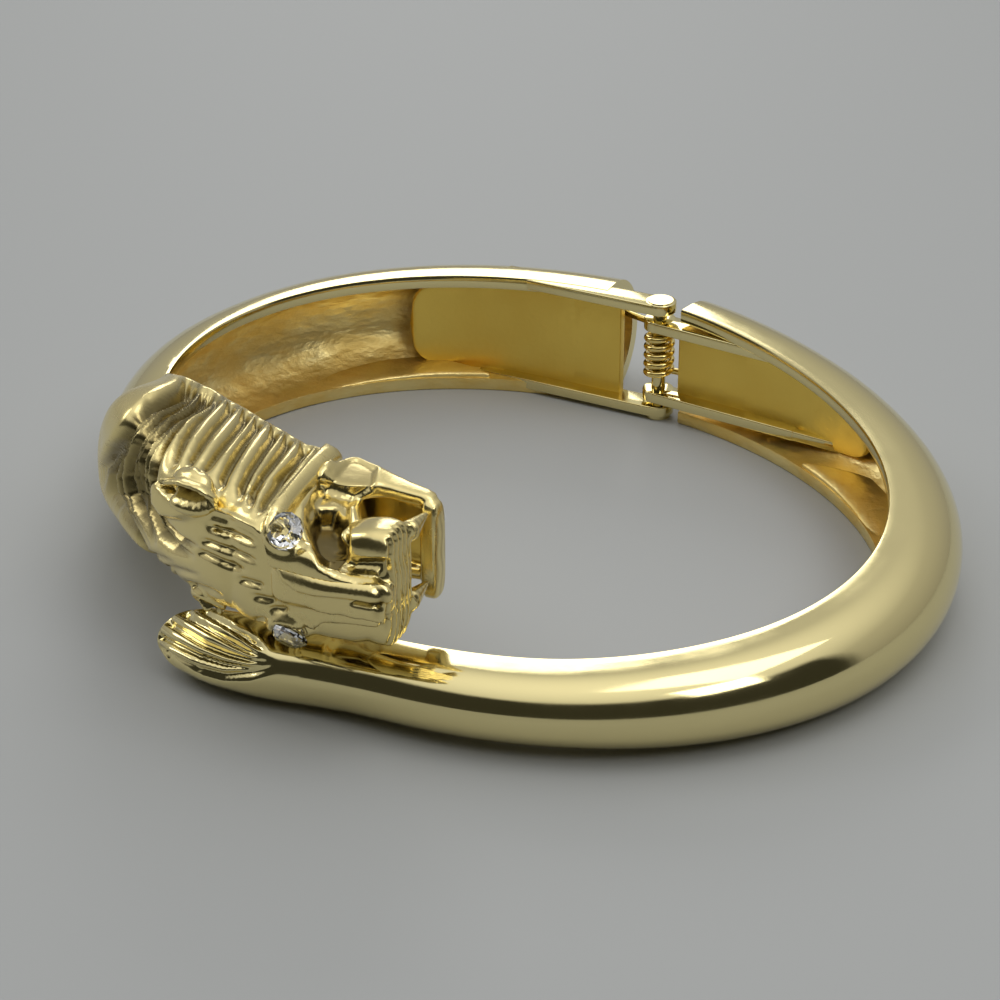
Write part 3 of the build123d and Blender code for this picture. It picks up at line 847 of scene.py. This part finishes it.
# %% Where each vertex of a rough form lies in the picture
PICTURE = 1000
CLEARANCE = 0.15
FREE_FACING = 0.14
SLANT_FACING = 0.7
MOST_SLANT = 2.6
LEAST_FACING = 0.01
camera_turn = np.array(camera.rotation_euler.to_matrix())
camera_spot = np.array(camera.location)
focal = camera_data.lens / camera_data.sensor_width * PICTURE


def skin_arrays(skin):
    """Places and normals of a mesh's vertices, and its faces in a tree that rays can be cast at."""
    places = np.empty(len(skin.vertices) * 3)
    skin.vertices.foreach_get("co", places)
    places = places.reshape(-1, 3)
    ways = np.empty(len(skin.vertices) * 3)
    skin.vertex_normals.foreach_get("vector", ways)
    faces = [tuple(face.vertices) for face in skin.polygons]
    tree = BVHTree.FromPolygons([tuple(spot) for spot in places], faces)
    return places, ways.reshape(-1, 3), tree


def look(points, point_normals, tree):
    """Pixels of points, how well each is seen, from 1 where it faces the camera freely to 0 where it is
    hidden, and how much deeper a cut has to be to show on its slant."""
    local = (points - camera_spot) @ camera_turn
    pixels = np.stack([PICTURE / 2 - focal * local[:, 0] / local[:, 2],
                       PICTURE / 2 + focal * local[:, 1] / local[:, 2]], -1)
    way = camera_spot - points
    way /= np.linalg.norm(way, axis=1)[:, None]
    facing = (way * point_normals).sum(axis=1)
    weight = rise(facing, 0.0, FREE_FACING)
    slant = np.clip(SLANT_FACING / np.maximum(facing, LEAST_FACING), 1.0, MOST_SLANT)
    starts = points + point_normals * CLEARANCE * MM
    for number in np.nonzero(weight)[0]:
        if tree.ray_cast(Vector(starts[number]), Vector(way[number]))[0] is not None:
            weight[number] = 0
    return pixels, weight, slant


# %% Evening out, and the finished object


def even_out(skin, values, rounds):
    """Values of a mesh's vertices, each drawn towards its neighbours' mean a few times."""
    pairs = np.empty(len(skin.edges) * 2, dtype=np.int32)
    skin.edges.foreach_get("vertices", pairs)
    first, second = pairs.reshape(-1, 2).T
    count = np.bincount(pairs, minlength=len(values))
    for _ in range(rounds):
        total = np.bincount(first, values[second], len(values))
        total = total + np.bincount(second, values[first], len(values))
        values = (values + total / np.maximum(count, 1)) / 2
    return values


def move_skin(skin, name, places, materials, body, node):
    """Finished object from a carved mesh, riding on a body and standing for a node."""
    skin.vertices.foreach_set("co", places.ravel())
    for material in materials:
        skin.materials.append(material)
    skin.shade_smooth()
    piece = bpy.data.objects.new(name, skin)
    bpy.context.collection.objects.link(piece)
    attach(piece, body)
    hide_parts(node)
    return piece


# %% [markdown]
# ## The sculptor's pencil
# The mane has long strands that curve round the cheek, with finer ones between them, and short pleats
# that stand upright behind the brow band. Strokes of fur lie on the crown. A few points in pixels of the
# picture, which is 1000 wide, draw each line and outline.

# %% Strands of the mane
LONG_STRANDS = [
    [(190, 380), (150, 400), (132, 417), (119, 435), (109, 457),
     (105, 476), (108, 496), (119, 517), (143, 549)],
    [(196, 382), (162, 405), (144, 423), (132, 440), (124, 457),
     (121, 476), (124, 496), (134, 515), (152, 541)],
    [(206, 388), (175, 408), (160, 423), (145, 440), (137, 457), (134, 476),
     (135, 493), (142, 512), (155, 532), (172, 548), (190, 556)],
    [(214, 390), (184, 413), (170, 430), (158, 450), (152, 466),
     (149, 482), (152, 505), (162, 526), (177, 541), (194, 547)],
]
FINE_STRANDS = [
    [(192, 381), (156, 402), (138, 420), (126, 435), (116, 457),
     (113, 476), (116, 496), (126, 516), (147, 545)],
    [(201, 385), (168, 406), (152, 423), (139, 440), (130, 457),
     (128, 476), (130, 494), (138, 514), (153, 536)],
    [(210, 389), (179, 410), (165, 426), (151, 445), (144, 461),
     (141, 478), (143, 498), (152, 519), (180, 551)],
    [(183, 383), (140, 408), (122, 428), (108, 448), (99, 470), (100, 494), (110, 517), (133, 548)],
]
print("strands", len(LONG_STRANDS), "long and", len(FINE_STRANDS), "fine")

# %% Pleats and strokes of fur
PLEATS = [
    [(228, 386), (198, 416), (184, 435), (175, 454), (169, 468)],
    [(244, 392), (215, 423), (202, 440), (192, 455), (186, 466)],
    [(260, 398), (231, 433), (217, 450), (207, 463), (201, 470)],
    [(275, 402), (246, 436), (232, 458), (223, 474), (219, 490)],
    [(293, 408), (264, 446), (250, 467), (242, 483), (239, 500)],
    [(310, 412), (279, 451), (263, 472), (252, 490), (249, 508)],
    [(328, 418), (297, 458), (278, 480), (264, 499), (257, 514)],
    [(342, 424), (310, 465), (289, 489), (273, 508), (265, 522)],
]
CROWN_STROKES = [
    [(211, 527), (231, 533), (256, 545)],
    [(203, 541), (231, 551), (258, 563)],
    [(199, 552), (221, 562), (245, 571)],
    [(240, 580), (264, 587)],
    [(254, 597), (276, 602)],
    [(271, 609), (288, 611)],
    [(256, 621), (291, 623)],
    [(109, 520), (122, 539), (143, 553), (170, 562)],
    [(114, 536), (136, 558), (162, 568), (196, 575)],
    [(138, 568), (167, 580), (198, 588), (222, 597)],
    [(153, 584), (185, 597), (215, 610), (240, 622)],
]
print("pleats and strokes", len(PLEATS), len(CROWN_STROKES))

# %% Ears, band, cheek and lip
EAR_RIDGE = [(166, 514), (186, 518), (206, 515), (214, 510), (232, 516), (256, 528), (264, 536)]
EAR = [
    (159, 486), (168, 480), (184, 480), (202, 486), (213, 494),
    (211, 505), (200, 514), (183, 517), (168, 514), (160, 503),
]
EAR_HOLE = [(168, 485), (182, 485), (197, 490), (209, 498), (200, 501), (186, 498), (174, 492)]
LOWER_EAR_HOLE = [(188, 600), (204, 604), (218, 616), (212, 621), (196, 615)]
BAND = [
    (332, 438), (305, 466), (286, 488), (270, 508), (264, 526), (265, 545), (272, 563), (285, 580),
    (299, 590), (315, 594), (347, 597), (371, 601), (390, 602), (390, 584), (359, 580), (337, 574),
    (322, 566), (313, 554), (308, 539), (304, 526), (305, 510), (313, 496), (326, 477), (345, 451),
]
CHEEK = [
    (352, 448), (330, 480), (314, 500), (308, 514), (308, 530), (316, 550), (326, 564), (342, 573),
    (362, 578), (392, 581), (392, 560), (346, 560), (350, 505), (372, 490), (376, 466),
]
CHEEK_HOLLOW = [
    (320, 505), (337, 505), (346, 516), (345, 545), (335, 566), (325, 564), (316, 545), (314, 522),
]
LIP_SLOT = [(352, 602), (368, 605), (384, 608)]
print("corners of the band and the cheek", len(BAND), len(CHEEK))

# %% How far a pixel is from a line, and what a groove does there


def line_gap(pixels, line):
    """Distance of each pixel from a line, and the share of the line where it is nearest."""
    best = np.full(len(pixels), 1e9)
    share = np.zeros(len(pixels))
    points = np.array(line, float)
    for number, (start, end) in enumerate(zip(points, points[1:])):
        way = end - start
        part = np.clip((pixels - start) @ way / (way @ way), 0, 1)
        gap = np.linalg.norm(pixels - start - part[:, None] * way, axis=1)
        share = np.where(gap < best, (number + part) / (len(points) - 1), share)
        best = np.minimum(gap, best)
    return best, share


# Steepness and start of a groove's depth at its first and its last end
RUN_IN = (8, 0.6)
RUN_OUT = (4, 0.15)


def groove(pixels, lines, half_width, depth):
    """Height of round-bottomed grooves that run out at their ends. Locks of hair stay between them."""
    deepest = np.zeros(len(pixels))
    for line in lines:
        gap, share = line_gap(pixels, line)
        ends = np.minimum(share * RUN_IN[0] + RUN_IN[1], (1 - share) * RUN_OUT[0] + RUN_OUT[1])
        ends = np.minimum(ends, 1)
        deepest = np.maximum(deepest, ends * np.exp(-(gap / half_width) ** 2))
    return -depth * deepest


def inside(pixels, outline, soft):
    """1 within an outline, 0 beyond it, with an edge that is soft over a few pixels."""
    points = np.array(outline, float)
    odd = np.zeros(len(pixels), bool)
    for start, end in zip(points, np.roll(points, -1, axis=0)):
        crosses = (start[1] > pixels[:, 1]) != (end[1] > pixels[:, 1])
        slope = (end[0] - start[0]) / (end[1] - start[1]) if end[1] != start[1] else 0.0
        odd ^= crosses & (pixels[:, 0] < start[0] + (pixels[:, 1] - start[1]) * slope)
    gap = line_gap(pixels, outline + outline[:1])[0]
    return rise(np.where(odd, gap, -gap), -soft, soft)


# %% [markdown]
# ## Depth and painted shade
# A line cuts a round groove, and an outline raises or sinks what lies in it. Widths and soft edges are in
# pixels, heights in millimetres. On skin that slants away from the camera a strand is cut deeper, so that
# it shows as clearly. A painted shade darkens the floors where the carving is deep, which makes the relief
# easy to read.

# %% Height of the drawing
# Lines, half width of the groove, its depth, and 1 where a slant deepens it
STROKES = [
    (LONG_STRANDS, 3.8, 0.85, 1),
    (FINE_STRANDS, 2.6, 0.45, 1),
    (PLEATS, 4.2, 0.85, 0),
    (CROWN_STROKES, 2.8, 0.42, 0),
]
# Outline, softness of its edge and depth
EAR_HOLES = [(EAR_HOLE, 1.8, 1.7), (LOWER_EAR_HOLE, 2.0, 1.1)]
CHEEK_HOLES = [(CHEEK, 2.0, 0.40), (CHEEK_HOLLOW, 3.5, 1.25)]
EAR_SOFT = 2.5
EAR_LEVEL = 0.85
RIDGE_WIDTH = 2.6
RIDGE_HEIGHT = 0.30
BAND_SOFT = 1.3
BAND_LEVEL = 0.48
SLOT_WIDTH = 2.4
SLOT_DEPTH = 0.55


def sunk(pixels, hollows):
    """Depth of some hollows together, in millimetres, at each pixel."""
    return sum(depth * inside(pixels, outline, soft) for outline, soft, depth in hollows)


def drawing(pixels, slant):
    """Height in millimetres, up or down, that the drawing asks for at each pixel."""
    height = np.zeros(len(pixels))
    for lines, half_width, depth, deepens in STROKES:
        height = np.minimum(height, groove(pixels, lines, half_width, depth) * slant ** deepens)
    ear = inside(pixels, EAR, EAR_SOFT)
    height = height * (1 - ear) + EAR_LEVEL * ear
    height -= sunk(pixels, EAR_HOLES)
    ridge_gap = line_gap(pixels, EAR_RIDGE)[0]
    height += RIDGE_HEIGHT * np.exp(-(ridge_gap / RIDGE_WIDTH) ** 2) * (1 - ear)
    band = inside(pixels, BAND, BAND_SOFT)
    height = height * (1 - band) + BAND_LEVEL * band
    height += groove(pixels, [LIP_SLOT], SLOT_WIDTH, SLOT_DEPTH)
    return height - sunk(pixels, CHEEK_HOLES)


# %% Painted shade of the drawing
# Painted shade: groove depths over which it grows, its strongest share, and the soft edge of its outlines
SHADE_DEPTHS = (0.10, 0.70)
SHADE_MOST = 0.85
SHADE_SOFT = 2.0
EAR_SHADE = 0.5


def shading(pixels, height):
    """Share of painted shade at each pixel: the grooves' floors, the hollow of the cheek and the ear's cup.
    """
    painted_shade = rise(-height, *SHADE_DEPTHS) * SHADE_MOST
    painted_shade = np.maximum(painted_shade, inside(pixels, CHEEK_HOLLOW, SHADE_SOFT))
    return np.maximum(painted_shade, inside(pixels, EAR_HOLE, SHADE_SOFT) * EAR_SHADE)


# %% Carve both sides
WEIGHT_ROUNDS = 4
SLANT_ROUNDS = 14
co, normals, head_tree = skin_arrays(head_skin)
mirror = np.array((1, 1, -1))
own_pixels, own_weight, own_slant = look(co, normals, head_tree)
far_places = co * mirror + (0, 0, 2 * HEAD_MIDDLE * MM)
far_pixels, far_weight, far_slant = look(far_places, normals * mirror, head_tree)
own_weight, far_weight = (
    even_out(head_skin, weight, WEIGHT_ROUNDS) for weight in (own_weight, far_weight)
)
own_slant, far_slant = (even_out(head_skin, slant, SLANT_ROUNDS) for slant in (own_slant, far_slant))
far_weight *= 1 - own_weight
own_cut = drawing(own_pixels, own_slant)
far_cut = drawing(far_pixels, far_slant)
cut = even_out(head_skin, own_weight * own_cut + far_weight * far_cut, 1)
# Painted shade for the carving's floors and hollows, from the drawing on both sides
painted_shade = own_weight * shading(own_pixels, own_cut) + far_weight * shading(far_pixels, far_cut)
print("deepest and highest carving in mm", round(float(cut.min()), 2), round(float(cut.max()), 2))

# %% [markdown]
# ## Eye sockets
# Each stone sits in a round collar that was turned up from the metal. The stones' places are known from
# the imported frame, so the sockets don't come from the drawing: the carving fades out round each stone, its
# seat is sunk a little, and a narrow ring rises round it.

# %% Sockets round the stones
SEAT_EDGES = (0.7, 1.0)
SEAT_DEPTH = 0.5
CLEAR_EDGES = (1.2, 1.9)
COLLAR_RADIUS = 1.22
COLLAR_WIDTH = 0.27
COLLAR_HEIGHT = 0.42
UNSHADED_EDGES = (1.2, 1.6)
angle, out, height, along = head_place_back(co)
up = height - HEAD_MIDDLE
skin_frame = np.stack([along, out, up], -1)
for stone in ("eye_stone_upper", "eye_stone_lower"):
    low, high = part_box(stone)
    eye_angle, eye_out, eye_height = place_back(np.array([((low + high) / 2)[:]]))
    middle = ((eye_angle[0] + 90) * STEP_MM, eye_out[0], eye_height[0] - HEAD_MIDDLE)
    ring = np.linalg.norm(skin_frame - middle, axis=1)
    cut = cut * rise(ring, *CLEAR_EDGES) - SEAT_DEPTH * (1 - rise(ring, *SEAT_EDGES))
    cut += COLLAR_HEIGHT * np.exp(-((ring - COLLAR_RADIUS) / COLLAR_WIDTH) ** 2)
    # The painted shade fades out round each stone
    painted_shade *= rise(ring, *UNSHADED_EDGES)
    print(stone, "socket's vertices", int((ring < COLLAR_RADIUS).sum()))

# %% [markdown]
# ## Whisker lines and finish
# The front of the muzzle has upright wavy lines for the whiskers. They repeat so evenly that a sine wave
# draws them better than a pencil, and their floors get a painted shade. Behind the mane's edge the metal is
# polished like the arm, so the faces there take the arm's material, and the mesh keeps its painted shade as
# an attribute for the carved gold.

# %% Whisker lines and the finished head
WHISKER_STEP = 0.62
WHISKER_DEPTH = 0.34
WHISKER_WAVE = 0.12
WAVE_RATE = 2.2
WHISKER_SHARPNESS = 0.7
WHISKER_SHADE = 0.7
MUZZLE_FRONT = (11.2, 11.8)
LIP_EDGES = (0.5, 1.1)
EDGE_SHADE = 0.3
whisker = np.abs(np.sin(pi * (out + WHISKER_WAVE * np.sin(WAVE_RATE * up)) / WHISKER_STEP))
whisker = whisker ** WHISKER_SHARPNESS
in_front = rise(along, *MUZZLE_FRONT)
cut += (whisker - 1.0) * WHISKER_DEPTH * in_front * rise(out, *LIP_EDGES)
# The painted shade stops at the mane's edge and also lies in the whisker lines' floors
painted_shade = painted_shade * rise(along, mane_edge, mane_edge + EDGE_SHADE)
painted_shade = np.maximum(painted_shade, (1 - whisker) * WHISKER_SHADE * in_front)
painted_shade_layer = head_skin.attributes.new("painted_shade_layer", "FLOAT", "POINT")
painted_shade_layer.data.foreach_set("value", even_out(head_skin, painted_shade, 1))
first_corner = np.array([face.vertices[0] for face in head_skin.polygons])
head_skin.polygons.foreach_set("material_index", (along < mane_edge)[first_corner].astype(np.int32))
head_shape = co + normals * (cut * MM)[:, None]
move_skin(head_skin, "lion_head", head_shape, [carved, polished], "head_side", "head_arm")
print("faces of the head", len(head_skin.polygons))

# %% [markdown]
# ## Tail tuft
# The other arm ends in the tuft of the tail: a rounded bud of hair that lies under the head. Its locks
# start together where the arm ends and part towards the tip, so they are drawn in the picture as well, as
# grooves that leave one point like the ribs of a fan. Its underside stays smooth.

# %% Tuft
TUFT = [
    (-68.0, 0.7, 3.7, -10.40, -7.00),
    (-72.0, 0.1, 4.2, -10.90, -6.35),
    (-76.0, 0.0, 4.66, -11.03, -6.31),
    (-78.0, 0.1, 4.95, -11.07, -6.32),
    (-80.0, 0.3, 5.34, -11.12, -6.33),
    (-82.0, 0.5, 5.80, -11.14, -6.31),
    (-84.5, 0.6, 6.4, -11.15, -6.3),
    (-90.0, 0.5, 7.4, -11.15, -6.4),
    (-95.5, 1.9, 7.6, -11.0, -6.8),
    (-99.3, 3.4, 6.9, -10.3, -7.7),
]
LOCKS = [
    [(152, 646), (172, 660), (196, 671), (222, 677), (250, 674), (272, 667)],
    [(150, 632), (174, 645), (196, 656), (222, 665), (246, 669), (268, 665)],
    [(160, 615), (182, 629), (202, 642), (226, 653), (248, 660), (268, 663)],
    [(174, 606), (200, 621), (222, 634), (244, 648), (262, 658)],
    [(200, 607), (222, 620), (244, 634), (262, 650)],
]
TUFT_POWER = 2.08
TUFT_STEPS = (80, 96)
TUFT_VOXEL = 0.12
LOCK_WIDTH = 3.6
LOCK_DEPTH = 0.55
LOCK_ROUNDS = 4
tuft_skin = join_lumps([lump(TUFT, TUFT_POWER, *TUFT_STEPS)], "tail_tuft", TUFT_VOXEL)
tuft_places, tuft_ways, tuft_tree = skin_arrays(tuft_skin)
tuft_pixels, tuft_weight, _ = look(tuft_places, tuft_ways, tuft_tree)
tuft_cut = tuft_weight * groove(tuft_pixels, LOCKS, LOCK_WIDTH, LOCK_DEPTH)
tuft_cut = even_out(tuft_skin, tuft_cut, LOCK_ROUNDS)
tuft_shape = tuft_places + tuft_ways * (tuft_cut * MM)[:, None]
move_skin(tuft_skin, "tail_tuft", tuft_shape, [polished], "tail_side", "tail_arm")
print("tuft vertices", len(tuft_skin.vertices))

# %% [markdown]
# ## Tongues of the leaves
# Past its flanges each leaf's plate runs on as a thin tongue with a round end, bent to lie along the
# arm's hollow, where the solder holds it.

# %% Tongues
TONGUE_POWER = 8.0
TONGUE_STEPS = (50, 96)
TONGUE = [
    (117.5, 0.42, 0.90, -10.80, -2.20),
    (122.0, 0.68, 1.20, -10.85, -2.15),
    (126.4, 1.10, 1.60, -10.85, -2.15),
    (130.0, 1.47, 2.00, -10.85, -2.15),
    (134.0, 1.82, 2.35, -10.85, -2.15),
    (139.0, 2.12, 2.65, -10.75, -2.25),
    (144.0, 2.30, 2.85, -10.10, -2.90),
    (147.5, 2.35, 2.90, -8.80, -4.20),
]
TAIL_TONGUE = [
    (92.5, 0.98, 1.45, -9.65, -3.00),
    (88.0, 1.38, 1.90, -9.67, -3.00),
    (84.0, 1.85, 2.35, -9.67, -3.05),
    (80.0, 2.35, 2.90, -9.67, -3.10),
    (76.0, 2.75, 3.30, -9.65, -3.30),
    (72.0, 3.05, 3.60, -9.60, -3.60),
    (68.0, 3.20, 3.75, -9.20, -4.20),
    (65.0, 3.25, 3.80, -8.30, -5.20),
]
for name, rows, body, node in (("head_leaf_tongue", TONGUE, "head_side", "head_arm"),
                               ("tail_leaf_tongue", TAIL_TONGUE, "tail_side", "tail_arm")):
    tongue = finish_mesh(lump(rows, TONGUE_POWER, *TONGUE_STEPS), name, [plate_gold])
    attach(tongue, body)
    print(name, "faces", len(tongue.data.polygons))

# %% [markdown]
# ## Ledges in the hollows
# Past each leaf the hollow's lower wall is thicker. Its edge runs slantwise from the rim to the leaf's
# tongue, and catches the light. A flat lump whose sections lean with the distance outwards gives that edge.

# %% Ledges
LEDGE_POWER = 3.0
LEDGE_STEPS = (60, 64)
HEAD_LEAN = 1.78
TAIL_LEAN = -1.49
HEAD_LEDGE = [
    (132.0, 0.12, 3.9, -10.60, -9.75),
    (142.0, 0.12, 3.9, -10.60, -9.80),
    (154.0, 0.12, 3.0, -10.50, -10.05),
    (163.0, 0.15, 2.2, -10.45, -10.30),
]
TAIL_LEDGE = [
    (74.4, 0.12, 4.0, -10.60, -9.75),
    (66.0, 0.12, 4.0, -10.60, -9.80),
    (56.0, 0.12, 3.9, -10.65, -10.05),
    (46.0, 0.15, 3.5, -10.75, -10.45),
]
for name, rows, lean, body, node in (("head_ledge", HEAD_LEDGE, HEAD_LEAN, "head_side", "head_arm"),
                                     ("tail_ledge", TAIL_LEDGE, TAIL_LEAN, "tail_side", "tail_arm")):
    ledge = finish_mesh(lump(rows, LEDGE_POWER, *LEDGE_STEPS, lean), name, [cast_inside])
    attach(ledge, body)
    print(name, "faces", len(ledge.data.polygons))

# %% [markdown]
# ## Finish the carried-over pieces
# The pin and the eye stones are right as the engineering model has them, so they only need their
# materials: the same polished gold for the pin and a clear crystal for the stones.

# %% Pin and stones
for name, material in (("hinge_pin", polished), ("eye_stone_upper", crystal),
                       ("eye_stone_lower", crystal)):
    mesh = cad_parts[name].data
    mesh.materials.clear()
    mesh.materials.append(material)
    print(name, "is", material.name)

# %% [markdown]
# ## Table
# The bracelet lies on a plain pale grey table. It is one flat square, large enough to fill the picture,
# and it isn't part of the bracelet.

# %% Table
TABLE_HALF = 1.2
TABLE_GREY = (0.41, 0.42, 0.415, 1.0)
TABLE_ROUGH = 0.6
table_edit = bmesh.new()
bmesh.ops.create_grid(table_edit, x_segments=1, y_segments=1, size=TABLE_HALF)
table_paint = bpy.data.materials.new("table")
table_paint.use_nodes = True
table_shader = table_paint.node_tree.nodes["Principled BSDF"]
table_shader.inputs["Base Color"].default_value = TABLE_GREY
table_shader.inputs["Roughness"].default_value = TABLE_ROUGH
table = finish_mesh(table_edit, "table", [table_paint], smooth=False)
print("table's half side in metres", TABLE_HALF)

# %% [markdown]
# ## Room
# Polished metal shows whatever stands round it, so the room matters as much as the metal. The world is
# brighter overhead than at the horizon, and dark where the photographer stood. That dark side draws the
# olive bands along the arms.

# %% Sky
# Position on the way up, from straight down to straight up, and level of light
SKY_STOPS = ((0.0, 0.30), (0.78, 0.95), (0.5, 0.45))
NEW_STOP = 0.4
SKY_BLUE_SHARE = 0.98
world = bpy.data.worlds.new("room")
bpy.context.scene.world = world
world.use_nodes = True
sky_nodes = world.node_tree.nodes
sky_link = world.node_tree.links.new
background = sky_nodes["Background"]
direction = sky_nodes.new("ShaderNodeTexCoord")
split = sky_nodes.new("ShaderNodeSeparateXYZ")
ramp = sky_nodes.new("ShaderNodeValToRGB")
sky_link(direction.outputs["Generated"], split.inputs["Vector"])
sky_link(split.outputs["Z"], ramp.inputs["Fac"])
stops = [*ramp.color_ramp.elements, ramp.color_ramp.elements.new(NEW_STOP)]
for stop, (position, level) in zip(stops, SKY_STOPS):
    stop.position = position
    stop.color = (level, level, SKY_BLUE_SHARE * level, 1)
print("sky stops", [round(stop.position, 2) for stop in ramp.color_ramp.elements])

# %% The dark side of the room
DARK_WAY = (0.62, -0.78, 0.0)
DARK_LEVEL = (0.035, 0.035, 0.028, 1)
DARK_SIDE = (0.06, 0.16)
DARK_TOP = (0.74, 0.66)
facing = sky_nodes.new("ShaderNodeVectorMath")
facing.operation = "DOT_PRODUCT"
facing.inputs[1].default_value = DARK_WAY
sky_link(direction.outputs["Generated"], facing.inputs[0])
both = sky_nodes.new("ShaderNodeMath")
both.operation = "MULTIPLY"
for number, (source, edges) in enumerate(((facing.outputs["Value"], DARK_SIDE),
                                          (split.outputs["Z"], DARK_TOP))):
    share = sky_nodes.new("ShaderNodeMapRange")
    share.inputs["From Min"].default_value, share.inputs["From Max"].default_value = edges
    sky_link(source, share.inputs["Value"])
    sky_link(share.outputs["Result"], both.inputs[number])
darken = sky_nodes.new("ShaderNodeMix")
darken.data_type = "RGBA"
darken.inputs["B"].default_value = DARK_LEVEL
sky_link(both.outputs["Value"], darken.inputs["Factor"])
sky_link(ramp.outputs["Color"], darken.inputs["A"])
sky_link(darken.outputs["Result"], background.inputs["Color"])
background.inputs["Strength"].default_value = 1.0
bpy.context.scene.view_settings.view_transform = "Standard"
print("dark way", DARK_WAY)

# %% [markdown]
# ## Softboxes
# Four large square lamps give the long highlights along the arms and the soft shadow under them. Each is
# far away for such a small thing, and a lamp's power grows with its area, so a level per area is easier to
# set than its watts.

# %% Softboxes


def lamp(name, spot, size, level):
    """Square soft lamp at a place in millimetres, aimed at the bracelet, as bright as its level."""
    data = bpy.data.lights.new(name, "AREA")
    data.shape = "SQUARE"
    data.size = size * MM
    data.energy = level * pi * (size * MM) ** 2
    lit = bpy.data.objects.new(name, data)
    bpy.context.collection.objects.link(lit)
    lit.location = [v * MM for v in spot]
    lit.rotation_euler = (-Vector(spot)).to_track_quat("-Z", "Y").to_euler()


# Name, place, side and level of each lamp
LAMPS = [
    ("softbox_back", (-285, 285, 190), 140, 2.6),
    ("softbox_top", (110, 70, 420), 240, 1.3),
    ("softbox_right", (310, -40, 330), 150, 3.0),
    ("softbox_left", (-380, -150, 290), 170, 2.6),
]
for row in LAMPS:
    lamp(*row)
print("lamps", len(LAMPS))
